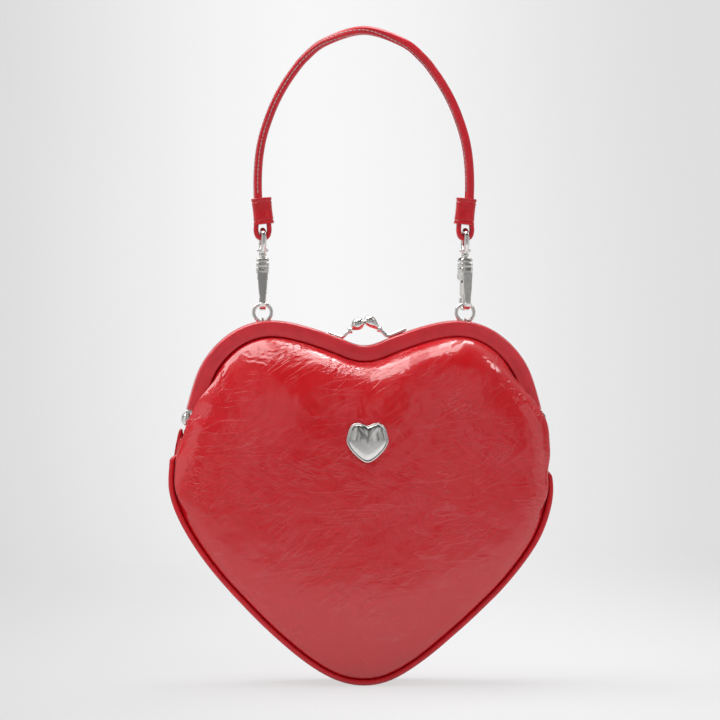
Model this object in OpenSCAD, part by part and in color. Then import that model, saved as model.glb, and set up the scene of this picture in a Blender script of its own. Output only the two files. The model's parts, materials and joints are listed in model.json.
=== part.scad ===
// Heart shaped frame purse that hangs from an arched handle with two swivel hooks.
// The origin is the underside of the handle's apex. +X is right, the front faces -Y, +Z is up.
// All sizes are in millimetres.

/* [Purse] */
// Width of the heart at its widest
heart_w = 205; // [195:1:215]
// Height of the heart from the tops of its lobes to its tip
heart_h = 193.5; // [186:0.5:200]
// Depth from the seam plane to the crown of each panel
crown_d = 34; // [32:0.5:36]
// Width of the gusset at the tip
gusset_w = 40; // [36:1:44]
// Thickness of the panel leather
panel_t = 1.6; // [1.4:0.1:1.8]
// Thickness of the lining
lining_t = 0.6; // [0.5:0.1:0.7]
// Thickness of the gusset leather
gusset_t = 1.2; // [1:0.1:1.4]
// Diameter of the piping
piping_d = 3; // [2.6:0.1:3.4]

/* [Frame] */
// Height of the covered frame band, seen from the front
band_w = 8.5; // [8:0.1:9.5]
// Depth of each frame half, measured from the seam plane
half_d = 5; // [4.6:0.1:5.4]
// How much lower the rear half's top edge lies
frame_step = 1.8; // [1.6:0.1:2]
// Thickness of the leather on the frame
cover_t = 1.2; // [1:0.1:1.3]
// Radius of the hinge leaves
leaf_r = 3.2; // [2.8:0.1:3.3]
// Thickness of each hinge leaf
leaf_t = 1.2; // [1:0.1:1.3]
// Radius of the hinge pins
hinge_pin_r = 1.5; // [1.2:0.1:1.7]
// Radius of the domed head on each hinge pin
pin_head_r = 3.7; // [3.3:0.1:4]
// Height of the domed head
pin_head_h = 2.3; // [2:0.1:2.6]
// How far the mouth opens, in degrees
open_deg = 50; // [40:5:50]

/* [Clasp] */
// Radius of the ball on the rear half
rear_ball_r = 3.2; // [3:0.1:3.4]
// Radius of the drop on the front half
front_ball_r = 3; // [2.8:0.1:3.2]
// Radius of the clasp's stems
stem_r = 1.1; // [1:0.1:1.3]
// Height of the ball's centre over the lobe tops
ball_rise = 2.2; // [1.8:0.1:2.6]

/* [Handle] */
// Height from the handle's apex to the bottom of its end loops
handle_h = 110; // [104:1:116]
// Width of the handle between strap centres at its widest
handle_w = 113.6; // [111:0.2:116]
// Distance between the two hooks
ring_span = 108; // [106:1:110]
// Thickness of the strap
strap_t = 4.2; // [4:0.1:4.5]
// Width of the strap, front to back
strap_w = 7; // [6.6:0.1:7.4]
// Thickness of the leather round the filler
strap_skin = 1.1; // [1:0.1:1.2]
// Thickness of the end loops
loop_t = 2.7; // [2.5:0.1:2.8]
// Width of the end loops, front to back
loop_w = 5.6; // [5.2:0.1:5.6]
// Width of the gap inside each end loop
loop_gap = 3.5; // [3.3:0.1:3.9]
// Width of the keepers
keeper_w = 12.2; // [11.8:0.1:12.8]
// Height of the keepers
keeper_h = 14.8; // [14:0.1:15.5]
// Depth of the keepers, front to back
keeper_d = 10; // [9.6:0.1:10.6]

/* [Hooks] */
// Diameter of the eye's wire
eye_wire = 2.4; // [2.2:0.1:2.6]
// Height from the eye's turning axis to its hub
eye_drop = 5.6; // [5.5:0.1:5.9]
// Height of the eye's hub
hub_h = 4; // [3.6:0.1:4.4]
// Radius of the eye's hub
hub_r = 2.6; // [2.5:0.1:2.8]
// Radius of the swivel shank
shank_r = 1; // [0.9:0.05:1.1]
// Radius of the hook's collar
collar_r = 3.3; // [3.2:0.1:3.5]
// Height of the hook's collar
collar_h = 9; // [8.6:0.1:9.4]
// Height from the collar to the seat where the ring hangs
hook_h = 17.8; // [17:0.1:18.6]
// Width of the spine at the collar
spine_top_w = 5.5; // [5.2:0.1:5.8]
// Width of the spine at the bend
spine_low_w = 3.2; // [3:0.1:3.4]
// Thickness of the hook's spine
spine_t = 2; // [1.9:0.1:2.1]
// Inner radius of the hook's bend
bend_r = 2.2; // [2.1:0.1:2.4]
// How far the right hook is turned at rest, in degrees
hook_turn = 20; // [10:1:22]
// Radius of the pin that carries the gate
gate_pin_r = 0.6; // [0.5:0.05:0.65]

/* [Rings] */
// Radius of the rings, at the middle of the wire
ring_r = 4.7; // [4.5:0.1:4.9]
// Diameter of the rings' wire
ring_wire = 1.6; // [1.4:0.1:1.6]
// Radius of the lug that holds each ring
lug_r = 2; // [1.9:0.1:2.2]
// Thickness of the lug
lug_t = 1.2; // [1:0.1:1.4]

/* [Plaque] */
// Width of the plain heart plaque
plaque_w = 22; // [18:1:24]
// How far it hangs below the hinges
plaque_drop = 9.7; // [9:0.1:12]
// Thickness of the plaque
plaque_t = 1.4; // [1.2:0.1:1.8]

/* [Fits] */
// Running clearance of pins and shanks, on the radius
run_gap = 0.05; // [0.03:0.01:0.08]
// Gap between parts that rest on each other
seat_gap = 0.1; // [0.05:0.01:0.15]
// Gap between soft parts
soft_gap = 0.25; // [0.2:0.01:0.3]
// Gap between the sliding layers of the front
slide_gap = 0.5; // [0.4:0.05:0.6]

/* [Hidden] */

// Colours
red = [0.72, 0.09, 0.14];
dark_red = [0.55, 0.06, 0.1];
lining_red = [0.45, 0.05, 0.09];
steel = [0.8, 0.79, 0.77];

// Smoothness
round_fn = 48;
fine_fn = 32;
curve_steps = 6;

// One overrun for every cut
cut = 1;

// Heights, from the handle's end loops down to the tip of the heart
loop_z = -handle_h + loop_t / 2;
hub_z = loop_z - eye_drop;
collar_z = hub_z - hub_h - seat_gap;
spine_z = collar_z - collar_h;
seat_z = spine_z - hook_h;
ring_hang = ring_r - sqrt(pow(ring_r, 2) - pow(spine_low_w / 2, 2)) + 6 * seat_gap;
ring_top_z = seat_z + ring_wire / 2 + ring_hang;
lug_sink = 0.8;
lug_z = ring_top_z - 2 * ring_r;
lobe_z = lug_z + lug_sink;
tip_z = lobe_z - heart_h;
side_x = ring_span / 2;

// The heart's right half, from the dip over the lobe to the tip, as the control points of six
// curves, in shares of half its width and of its height
heart_shares = [
    [0, 0.93], [0.137, 0.951], [0.332, 1],
    [0.483, 1], [0.654, 1], [0.79, 0.937],
    [0.854, 0.87], [0.884, 0.839], [0.91, 0.783],
    [0.937, 0.728], [0.957, 0.684], [1, 0.617],
    [1, 0.548], [1, 0.478], [0.859, 0.343],
    [0.697, 0.251], [0.527, 0.16], [0.234, 0],
    [0, 0]
];
// Which of those points is the hinge, and how many curves lie above it
hinge_index = 9;
curves_over_hinge = 3;

function heart_at(k) = [
    heart_w / 2 * heart_shares[k][0],
    tip_z + heart_h * heart_shares[k][1]
];
function bezier(k, t) =
    pow(1 - t, 3) * heart_at(k)
    + 3 * pow(1 - t, 2) * t * heart_at(k + 1)
    + 3 * (1 - t) * t * t * heart_at(k + 2)
    + pow(t, 3) * heart_at(k + 3);
function flip_x(p) = [-p[0], p[1]];

half_count = 6 * curve_steps;
over_count = curves_over_hinge * curve_steps;
right_half = concat(
    [for (k = [0:5]) for (i = [0:curve_steps - 1]) bezier(3 * k, i / curve_steps)],
    [heart_at(18)]
);
outline = concat(
    right_half,
    [for (i = [half_count - 1:-1:1]) flip_x(right_half[i])]
);
over_path = concat(
    [for (i = [over_count:-1:1]) flip_x(right_half[i])],
    [for (i = [0:over_count]) right_half[i]]
);
under_path = concat(
    [for (i = [over_count:half_count]) right_half[i]],
    [for (i = [half_count - 1:-1:over_count]) flip_x(right_half[i])]
);

// Each point of a path that runs clockwise, with the direction that points into the heart
function inward(a, b) = let (t = (b - a) / norm(b - a)) [t[1], -t[0]];
function open_line(path) = [
    for (i = [0:len(path) - 1])
        [path[i], inward(path[max(i - 1, 0)], path[min(i + 1, len(path) - 1)])]
];
function closed_line(path) = let (n = len(path)) [
    for (i = [0:n - 1]) [path[i], inward(path[(i + n - 1) % n], path[(i + 1) % n])]
];
function inset(line, d) = [for (p = line) p[0] + d * p[1]];

over_line = open_line(over_path);
under_line = open_line(under_path);
outline_line = closed_line(outline);

hinge_x = heart_at(hinge_index)[0];
hinge_z = heart_at(hinge_index)[1];
// The purse's seam plane lies behind the front half, so that the rings hang over y = 0
seam_y = -half_d / 2;
half_gap = 0.15;

// Depth of the purse: the edge of each panel, its crown and the curve between them
grow_share = 0.66;
tuck = 0.6;
rim_power = 2.4;
crown_power = 0.6;
heart_mid_share = 0.607;
mid = [0, tip_z + heart_h * heart_mid_share];
function smooth(t) = let (u = max(0, min(1, t))) u * u * (3 - 2 * u);
function edge_depth(z) =
    half_d - tuck
    + (gusset_w / 2 - half_d + tuck) * smooth((hinge_z - z) / (hinge_z - tip_z) / grow_share);

// The panels' rim runs under the frame's band and, below the hinges, beside the piping
rim_fade = 12;
function rim_inset(z) =
    let (low = piping_d + soft_gap, high = band_w + soft_gap)
    low + (high - low) * smooth(1 + (z - hinge_z) / rim_fade);
panel_rim = [for (p = outline_line) p[0] + rim_inset(p[0][1]) * p[1]];
rim_table = [
    for (i = [0:half_count])
        let (v = panel_rim[i] - mid) [atan2(v[1], abs(v[0])), norm(v)]
];
function share_of(q) =
    let (v = q - mid)
    norm(v) == 0 ? 0 : min(1, norm(v) / lookup(atan2(v[1], abs(v[0])), rim_table));
function depth(q) =
    let (e = edge_depth(q[1]))
    e + (crown_d - e) * pow(1 - pow(share_of(q), rim_power), crown_power);

// The top of the front panel moves with the front half. Where it passes behind the lower
// panel as the mouth opens, it keeps inside a circle about the hinge axis.
layers = panel_t + lining_t + 2 * slide_gap;
tuck_under = 3;
slide_deg = open_deg + 15;
function slide_r(x) = max(0, depth([x, hinge_z]) - layers);
function top_depth(q) =
    let (
        h = abs(q[1] - hinge_z),
        r = slide_r(q[0]),
        arc = sqrt(max(0, r * r - h * h)),
        free = q[1] > hinge_z ? h / tan(slide_deg) : 0
    )
    max(panel_t, min(depth(q), max(arc, free)));

// Triangles for the wall between ring k and ring k + 1 of n points each
function quad(a, b, c, d) = [[a, b, c], [a, c, d]];
function wall(rings, n, first = 0, closed = true) = [
    for (k = [0:rings - 2]) for (i = [0:n - (closed ? 1 : 2)])
        let (j = (i + 1) % n, a = first + k * n)
        each quad(a + i, a + j, a + n + j, a + n + i)
];
function turned(faces) = [for (f = faces) [f[2], f[1], f[0]]];

// Solid swept along rings of points, and the same with a bore
module sweep(rings) {
    k = len(rings);
    n = len(rings[0]);
    start = [for (i = [1:n - 2]) [0, i + 1, i]];
    end = [for (i = [1:n - 2]) [(k - 1) * n, (k - 1) * n + i, (k - 1) * n + i + 1]];
    polyhedron([for (r = rings) each r], concat(wall(k, n), start, end));
}
module sweep_tube(outer, inner) {
    k = len(outer);
    n = len(outer[0]);
    size = k * n;
    start = [for (i = [0:n - 1]) let (j = (i + 1) % n) each quad(j, i, size + i, size + j)];
    base = (k - 1) * n;
    end = [
        for (i = [0:n - 1])
            let (j = (i + 1) % n)
            each quad(base + i, base + j, size + base + j, size + base + i)
    ];
    polyhedron(
        concat([for (r = outer) each r], [for (r = inner) each r]),
        concat(wall(k, n), turned(wall(k, n, size)), start, end)
    );
}

// Curved sheet over the panels' rim, from the largest of the shares of it inward. Its outer
// skin follows one depth and its inner skin another.
panel_shares = [1, 0.955, 0.89, 0.8, 0.67, 0.5, 0.28];
lining_shares = [for (i = [1:len(panel_shares) - 1]) panel_shares[i]];
module sheet(shares, outer, inner) {
    n = len(panel_rim);
    k = len(shares);
    size = n * k + 1;
    spots = [for (s = shares) for (p = panel_rim) mid + s * (p - mid)];
    front = [for (q = spots) [q[0], -outer(q), q[1]]];
    back = [for (q = spots) [q[0], -inner(q), q[1]]];
    hub = (k - 1) * n;
    cap = [for (i = [0:n - 1]) [hub + i, hub + (i + 1) % n, size - 1]];
    front_faces = concat(wall(k, n), cap);
    back_faces = [for (f = turned(front_faces)) [for (v = f) v + size]];
    edge = [for (i = [0:n - 1]) let (j = (i + 1) % n) each quad(j, i, size + i, size + j)];
    polyhedron(
        concat(front, [[mid[0], -outer(mid), mid[1]]], back, [[mid[0], -inner(mid), mid[1]]]),
        concat(front_faces, back_faces, edge)
    );
}
// Everything above or below a height
module above(z) {
    translate([-heart_w, -heart_w, z]) cube([2 * heart_w, 2 * heart_w, heart_h]);
}
module below(z) {
    translate([-heart_w, -heart_w, z - 2 * heart_h]) cube([2 * heart_w, 2 * heart_w, 2 * heart_h]);
}
// Flat shape in the XZ plane, from one depth to another
module plate(y_front, y_rear) {
    translate([0, y_rear, 0])
    rotate([90, 0, 0])
    linear_extrude(y_rear - y_front)
    children();
}
// Flat shape drawn as [y, z], centred on X
module side_plate(t) {
    rotate([90, 0, 90])
    linear_extrude(t, center = true)
    children();
}
// Rod along X between two places
module rod_x(x0, x1, r) {
    translate([x0, 0, 0])
    rotate([0, 90, 0])
    cylinder(r = r, h = x1 - x0, $fn = fine_fn);
}

// Frame

bar_in = cover_t;
bar_out = band_w - cover_t;
bar_near = half_gap + cover_t * 2 / 3;
bar_far = half_d - cover_t;
leaf_gap = 0.1;
front_leaf_x = hinge_x - bar_in - leaf_t;
rear_leaf_x = front_leaf_x - leaf_gap - leaf_t;
cover_end = hinge_z + leaf_r + cover_t;

module band(d0, d1) {
    polygon(concat(
        inset(over_line, d0),
        [for (i = [len(over_line) - 1:-1:0]) inset(over_line, d1)[i]]
    ));
}
// Metal bar of one half, with a leaf at each end for the hinge pin
module frame_bar(step, leaf_x, bore_r) {
    difference() {
        union() {
            difference() {
                plate(-bar_far, -bar_near) band(bar_in + step, bar_out);
                below(hinge_z + leaf_r + half_gap);
            }
            for (side = [0, 1]) mirror([side, 0, 0])
                leaf(leaf_x);
        }
        for (side = [0, 1]) mirror([side, 0, 0])
            translate([0, 0, hinge_z]) rod_x(leaf_x - cut, leaf_x + leaf_t + cut, bore_r);
    }
}
module leaf(leaf_x) {
    neck_z = cover_end - seat_gap;
    translate([0, 0, hinge_z]) {
        rod_x(leaf_x, leaf_x + leaf_t, leaf_r);
        translate([leaf_x, -bar_far, 0]) cube([leaf_t, bar_far - bar_near, neck_z - hinge_z]);
        translate([leaf_x - 2 * leaf_t, -bar_far, leaf_r + half_gap])
            cube([3 * leaf_t, bar_far - bar_near, neck_z - hinge_z - leaf_r - half_gap]);
    }
}
// Rounded band of leather round one metal bar, as [inset, y] from the top, front side last
edge_round = 2.2;
function cover_section(step, y0, y1) =
    let (r = edge_round, s = edge_round / 3, w = band_w) [
        [step + s, y1], [w / 2, y1], [w - s, y1], [w, y1 - s], [w, y0 + r],
        [w - r / 4, y0 + r / 4], [w - r, y0], [w / 2, y0], [step + r, y0],
        [step + r / 4, y0 + r / 4], [step, y0 + r], [step, y1 - s]
    ];
function bar_section(step) =
    let (
        a = bar_in + step, b = bar_out, y0 = -bar_far, y1 = -bar_near,
        u = (a + b) / 2, v = (y0 + y1) / 2
    ) [
        [a, y1], [u, y1], [b, y1], [b, v], [b, (v + y0) / 2],
        [b, y0], [(u + b) / 2, y0], [u, y0], [(u + a) / 2, y0],
        [a, y0], [a, (v + y0) / 2], [a, v]
    ];
module frame_cover(step) {
    line = [for (p = over_line) if (p[0][1] > cover_end) p];
    sweep_tube(
        [for (p = line) [
            for (c = cover_section(step, -half_d, -half_gap))
                let (q = p[0] + c[0] * p[1]) [q[0], c[1], q[1]]
        ]],
        [for (p = line) [
            for (c = bar_section(step)) let (q = p[0] + c[0] * p[1]) [q[0], c[1], q[1]]
        ]]
    );
}
module hinge_pin() {
    translate([0, 0, hinge_z]) {
        rod_x(rear_leaf_x - leaf_t, front_leaf_x + leaf_t + seat_gap, hinge_pin_r);
        rod_x(rear_leaf_x - leaf_t, rear_leaf_x - seat_gap, (hinge_pin_r + leaf_r) / 2);
        translate([front_leaf_x + leaf_t + seat_gap, 0, 0])
            rotate([0, 90, 0]) rotate_extrude($fn = round_fn) dome();
    }
}
module dome() {
    dome_r = (pow(pin_head_r, 2) + pow(pin_head_h, 2)) / (2 * pin_head_h);
    intersection() {
        translate([0, pin_head_h - dome_r]) circle(dome_r, $fn = 4 * round_fn);
        square([pin_head_r, pin_head_h]);
    }
}

module rear_frame() {
    color(steel) translate([0, seam_y, 0]) mirror([0, 1, 0])
        frame_bar(frame_step, rear_leaf_x, hinge_pin_r);
}
module front_frame() {
    color(steel) translate([0, seam_y, 0])
        frame_bar(0, front_leaf_x, hinge_pin_r + run_gap);
}
module rear_frame_cover() {
    color(red) difference() {
        translate([0, seam_y, 0]) mirror([0, 1, 0]) frame_cover(frame_step);
        for (side = [0, 1]) mirror([side, 0, 0]) lug_slot();
    }
}
module front_frame_cover() {
    color(red) translate([0, seam_y, 0]) frame_cover(0);
}
module left_hinge_pin() {
    color(steel) translate([0, seam_y, 0]) mirror([1, 0, 0]) hinge_pin();
}
module right_hinge_pin() {
    color(steel) translate([0, seam_y, 0]) hinge_pin();
}

// Ring lugs, on top of the rear half's metal bar

lug_foot_z = lobe_z - frame_step - bar_in;
module ring_lug() {
    translate([side_x, 0, 0])
    side_plate(lug_t)
    difference() {
        union() {
            translate([0, lug_z]) circle(lug_r, $fn = fine_fn);
            translate([-lug_r, lug_foot_z]) square([2 * lug_r, lug_z - lug_foot_z]);
        }
        translate([0, lug_z]) circle(ring_wire / 2 + 2 * seat_gap, $fn = fine_fn);
    }
}
module lug_slot() {
    slot_t = lug_t + 2 * seat_gap;
    slot_d = 2 * (lug_r + seat_gap);
    translate([side_x - slot_t / 2, -slot_d / 2, lug_foot_z - seat_gap])
        cube([slot_t, slot_d, frame_step + bar_in + cut]);
}
module left_ring_lug() { color(steel) mirror([1, 0, 0]) ring_lug(); }
module right_ring_lug() { color(steel) ring_lug(); }

// Clasp: a ball on the rear half and a drop on the front half that pass each other

ball_z = lobe_z - ball_rise;
module along(a, b) {
    v = b - a;
    translate(a)
    rotate([0, acos(v[2] / norm(v)), atan2(v[1], v[0])])
    children();
}
// Each stem runs from its ball to a round neck, and from there down into the leather of its half
// of the frame. The steps to the neck, and the foot's step aside, are shares of the ball's radius.
rear_neck_shares = [-1.45, -1.1];
front_neck_shares = [1.75, -1.55];
rear_foot_share = -2.2;
front_foot_share = 1.7;
neck_share = 1.5;
drop_share = 0.9;
frame_edge = [for (i = [0:over_count]) right_half[i]];
function foot_z(x) = lookup(abs(x), frame_edge) - cover_t / 2;
module stem(ball, ball_r, neck_shares, foot_step, r0) {
    neck = ball + ball_r * [neck_shares[0], 0, neck_shares[1]];
    foot_x = neck[0] + foot_step[0];
    foot = [foot_x, neck[1] + foot_step[1], foot_z(foot_x) + foot_step[2]];
    reach = norm(neck - ball);
    along(ball, neck) {
        sphere(ball_r, $fn = round_fn);
        cylinder(r1 = r0, r2 = stem_r, h = reach, $fn = fine_fn);
        translate([0, 0, reach]) sphere(neck_share * stem_r, $fn = fine_fn);
    }
    along(neck, foot) cylinder(r = stem_r, h = norm(foot - neck), $fn = fine_fn);
}
module rear_clasp() {
    ball = [-seat_gap - rear_ball_r, seam_y, ball_z];
    foot_step = [rear_ball_r * rear_foot_share, half_d / 2, -frame_step];
    color(steel) stem(ball, rear_ball_r, rear_neck_shares, foot_step, stem_r);
}
module front_clasp() {
    ball = [seat_gap + front_ball_r, seam_y, ball_z + front_ball_r / 2];
    foot_step = [front_ball_r * front_foot_share, -half_d / 2, 0];
    color(steel) stem(ball, front_ball_r, front_neck_shares, foot_step, front_ball_r * drop_share);
}

// Panels, gusset, piping and linings

module front_panel() {
    color(red) translate([0, seam_y, 0])
    difference() {
        sheet(panel_shares, function (q) depth(q), function (q) depth(q) - panel_t);
        above(hinge_z);
        for (side = [0, 1]) mirror([side, 0, 0]) corner_cut();
    }
}
// Room under each hinge for the end of the front half's band
module corner_cut() {
    w = 2 * band_w;
    translate([hinge_x - w, -2 * half_d, hinge_z - leaf_r]) cube([w, 2 * half_d, 2 * leaf_r]);
}
module front_panel_top() {
    color(red) translate([0, seam_y, 0])
    difference() {
        sheet(panel_shares, function (q) top_depth(q), function (q) top_depth(q) - panel_t);
        below(hinge_z - tuck_under);
    }
}
module back_panel() {
    color(red) translate([0, seam_y, 0]) mirror([0, 1, 0])
        sheet(panel_shares, function (q) depth(q), function (q) depth(q) - panel_t);
}

gusset_top_z = hinge_z - leaf_r - 2 * cover_t;
gusset_line = [for (p = under_line) if (p[0][1] < gusset_top_z) p];
gusset_in = 1;
fold_top = 6;
fold_low = 2;
function fold(z) =
    fold_low + (fold_top - fold_low) * smooth(1 - 2 * (gusset_top_z - z) / (hinge_z - tip_z));
// One ring of the gusset, from its front edge to its rear edge and back along the inside. The
// gusset bows inward, and its lining reaches a share of its width.
bow_shares = [[-1, 0], [-0.6, 0.64], [0, 1], [0.6, 0.64], [1, 0]];
lining_reach_share = 0.8;
function gusset_ring(p, d0, d1, reach_share) =
    let (
        w = edge_depth(p[0][1]) - piping_d / 2 - soft_gap,
        bow = fold(p[0][1]),
        stops = [-reach_share, bow_shares[1][0], 0, bow_shares[3][0], reach_share],
        at = function (u, d)
            let (q = p[0] + (d + bow * lookup(u, bow_shares)) * p[1]) [q[0], u * w, q[1]]
    )
    concat([for (u = stops) at(u, d0)], [for (i = [4:-1:0]) at(stops[i], d1)]);
module gusset() {
    color(dark_red) translate([0, seam_y, 0])
        sweep([for (p = gusset_line) gusset_ring(p, gusset_in, gusset_in + gusset_t, 1)]);
}
module gusset_lining() {
    from = gusset_in + gusset_t + 2 * soft_gap;
    color(lining_red) translate([0, seam_y, 0])
        sweep([for (p = gusset_line) gusset_ring(p, from, from + lining_t, lining_reach_share)]);
}

piping_sides = 8;
module piping() {
    r = piping_d / 2;
    sweep([
        for (p = gusset_line) [
            for (i = [0:piping_sides - 1])
                let (
                    a = 360 * i / piping_sides,
                    q = p[0] + (r - r * cos(a)) * p[1]
                )
                [q[0], r * sin(a) - edge_depth(p[0][1]), q[1]]
        ]
    ]);
}
module front_piping() { color(red) translate([0, seam_y, 0]) piping(); }
module back_piping() { color(red) translate([0, seam_y, 0]) mirror([0, 1, 0]) piping(); }

// The linings stop short of the rim and lie just inside the panels
lining_off = panel_t + slide_gap / 2;
module lining(skin) {
    sheet(
        lining_shares,
        function (q) skin(q) - lining_off,
        function (q) skin(q) - lining_off - lining_t
    );
}
module front_lining() {
    color(lining_red) translate([0, seam_y, 0])
    difference() {
        lining(function (q) depth(q));
        above(hinge_z - tuck_under);
        for (side = [0, 1]) mirror([side, 0, 0]) corner_cut();
    }
}
module front_lining_top() {
    color(lining_red) translate([0, seam_y, 0])
    difference() {
        lining(function (q) top_depth(q));
        below(hinge_z);
    }
}
module back_lining() {
    color(lining_red) translate([0, seam_y, 0]) mirror([0, 1, 0]) lining(function (q) depth(q));
}

// Plain heart plaque below the dip

plaque_spot = [0, hinge_z - plaque_drop];
plaque_tilt = atan(
    (depth(plaque_spot + [0, plaque_w / 4]) - depth(plaque_spot - [0, plaque_w / 4])) / (plaque_w / 2)
);
module small_heart(w) {
    s = w / heart_w;
    polygon([for (p = outline) s * (p - mid)]);
}
module on_panel() {
    translate([plaque_spot[0], seam_y - depth(plaque_spot) - 3 * seat_gap, plaque_spot[1]])
    rotate([plaque_tilt, 0, 0])
    children();
}
backing_share = 0.86;
step_share = 0.8;
module plaque_backing() {
    color(steel) on_panel() plate(-plaque_t / 2, 0) small_heart(plaque_w * backing_share);
}
module plaque() {
    color(steel) on_panel() {
        plate(-plaque_t, -plaque_t / 2) small_heart(plaque_w);
        plate(-plaque_t * 3 / 2, -plaque_t) small_heart(plaque_w * step_share);
    }
}

// Handle: an arch that ends in two straight legs inside the keepers

arch_rx = handle_w / 2;
arch_share = 0.71;
arch_rz = handle_h * arch_share;
arch_power = 1.06;
arch_steps = 40;
keeper_z = loop_z + loop_t / 2 + loop_gap + keeper_h / 2 + strap_t / 2;
arch_path = [
    for (i = [0:arch_steps])
        let (a = 180 * i / arch_steps - 90)
        [arch_rx * sign(a) * pow(abs(sin(a)), arch_power), strap_t / 2 - arch_rz * (1 - cos(a))]
];
// Each leg runs straight down the outer side of its keeper, beside the strap's end
loop_out = loop_gap / 2 + loop_t;
leg_x = side_x + loop_out - strap_t / 2;
leg_low = [leg_x, keeper_z - strap_t / 2];
leg_top = [leg_x, keeper_z + keeper_h / 2];
handle_path = concat(
    [flip_x(leg_low), flip_x(leg_top)],
    arch_path,
    [leg_top, leg_low]
);
handle_line = open_line(handle_path);
strap_sides = 12;
strap_power = 0.7;
function strap_ring(p, t, w) = [
    for (i = [0:strap_sides - 1])
        let (
            a = 360 * i / strap_sides,
            c = sign(cos(a)) * pow(abs(cos(a)), strap_power),
            s = sign(sin(a)) * pow(abs(sin(a)), strap_power),
            q = p[0] - t / 2 * c * p[1]
        )
        [q[0], w / 2 * s, q[1]]
];
module handle_strap() {
    skin = 2 * strap_skin;
    color(red) {
        sweep_tube(
            [for (p = handle_line) strap_ring(p, strap_t, strap_w)],
            [for (p = handle_line) strap_ring(p, strap_t - skin, strap_w - skin)]
        );
        for (side = [-1, 1]) translate([side * side_x, 0, 0]) end_loop();
    }
}
module handle_filler() {
    skin = 2 * strap_skin;
    color(dark_red)
        sweep([
            for (p = handle_line) if (p[0][1] > keeper_z + seat_gap)
                strap_ring(p, strap_t - skin, strap_w - skin)
        ]);
}
// The strap's end turns round the eye and comes back up into the keeper
module end_loop() {
    turn_z = -handle_h + loop_out;
    plate(-loop_w / 2, loop_w / 2)
    difference() {
        union() {
            translate([0, turn_z]) circle(loop_out, $fn = round_fn);
            translate([-loop_out, turn_z]) square([2 * loop_out, keeper_z - turn_z]);
        }
        translate([0, turn_z]) circle(loop_gap / 2, $fn = round_fn);
        translate([-loop_gap / 2, turn_z]) square([loop_gap, keeper_z - keeper_h / 2 - turn_z]);
    }
}
module keeper() {
    rim = 1.2;
    rim_out = 0.5;
    hole_w = 2 * (loop_out + seat_gap);
    hole_d = strap_w + 2 * seat_gap;
    translate([side_x, 0, keeper_z])
    difference() {
        union() {
            linear_extrude(keeper_h, center = true)
                rounded(keeper_w - 2 * rim_out, keeper_d - 2 * rim_out);
            for (z = [-keeper_h / 2, keeper_h / 2 - rim])
                translate([0, 0, z]) linear_extrude(rim) rounded(keeper_w, keeper_d);
        }
        cube([hole_w, hole_d, keeper_h + cut], center = true);
    }
}
module rounded(w, d) {
    r = d / 3;
    union() {
        square([w - 2 * r, d], center = true);
        square([w, d - 2 * r], center = true);
        for (x = [-1, 1]) for (y = [-1, 1])
            translate([x * (w / 2 - r), y * (d / 2 - r)]) circle(r, $fn = fine_fn);
    }
}
module left_keeper() { color(red) mirror([1, 0, 0]) keeper(); }
module right_keeper() { color(red) keeper(); }

// Eye: an arch over the strap's end loop, with a hub that the hook's shank turns in

eye_r = sqrt(pow(loop_w / 2, 2) + pow(loop_t / 2, 2)) + run_gap + eye_wire / 2;
bore_r = shank_r + run_gap;
module eye() {
    arm_z = hub_z - eye_wire;
    translate([side_x, 0, 0])
    difference() {
        union() {
            translate([0, 0, loop_z]) rotate([0, 0, 90]) rotate([90, 0, 0])
                rotate_extrude(angle = 180, $fn = round_fn)
                translate([eye_r, 0]) circle(eye_wire / 2, $fn = fine_fn);
            for (y = [-eye_r, eye_r]) translate([0, y, arm_z])
                cylinder(r = eye_wire / 2, h = loop_z - arm_z, $fn = fine_fn);
            translate([-eye_wire / 2, -eye_r, arm_z]) cube([eye_wire, 2 * eye_r, eye_wire]);
            translate([0, 0, hub_z - hub_h]) cylinder(r = hub_r, h = hub_h, $fn = round_fn);
        }
        translate([0, 0, hub_z - hub_h - cut]) cylinder(r = bore_r, h = hub_h + 2 * cut, $fn = fine_fn);
    }
}
module left_eye() { color(steel) mirror([1, 0, 0]) eye(); }
module right_eye() { color(steel) eye(); }

// Hook, about its own swivel axis: collar, spine in front, bend below and tip behind

head_h = 1.1;
head_r = 1.7;
bend_z = seat_z + bend_r;
bend_out = bend_r + spine_t;
shoulder_h = 3.4;
tip_h = 2.6;
gate_side = 0.3;
gate_w = spine_low_w - 2 * gate_side;
gate_pin_z = spine_z - shoulder_h / 2;
gate_pin_y = bend_out - spine_t / 2;
module hook() {
    difference() {
        union() {
            translate([0, 0, collar_z]) cylinder(r = shank_r, h = hub_h + 3 * seat_gap, $fn = fine_fn);
            translate([0, 0, hub_z + seat_gap]) cylinder(r = head_r, h = head_h, $fn = fine_fn);
            collar();
            spine();
            hook_bend();
            shoulder();
        }
        gate_slot();
    }
}
module collar() {
    lip = 1.4;
    step = 0.3;
    translate([0, 0, spine_z]) {
        cylinder(r = collar_r - step, h = collar_h, $fn = round_fn);
        cylinder(r = collar_r, h = collar_h / 2, $fn = round_fn);
        translate([0, 0, collar_h - lip - step]) cylinder(r = collar_r, h = lip, $fn = round_fn);
    }
}
module spine() {
    plate(-bend_out, -bend_r)
    polygon([
        [-spine_top_w / 2, spine_z + cut], [spine_top_w / 2, spine_z + cut],
        [spine_low_w / 2, bend_z], [-spine_low_w / 2, bend_z]
    ]);
}
module hook_bend() {
    translate([0, 0, bend_z])
    side_plate(spine_low_w)
    difference() {
        union() {
            intersection() {
                circle(bend_out, $fn = round_fn);
                translate([-bend_out, -bend_out]) square([2 * bend_out, bend_out]);
            }
            translate([bend_r, 0]) square([spine_t, tip_h]);
        }
        circle(bend_r, $fn = round_fn);
    }
}
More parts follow.
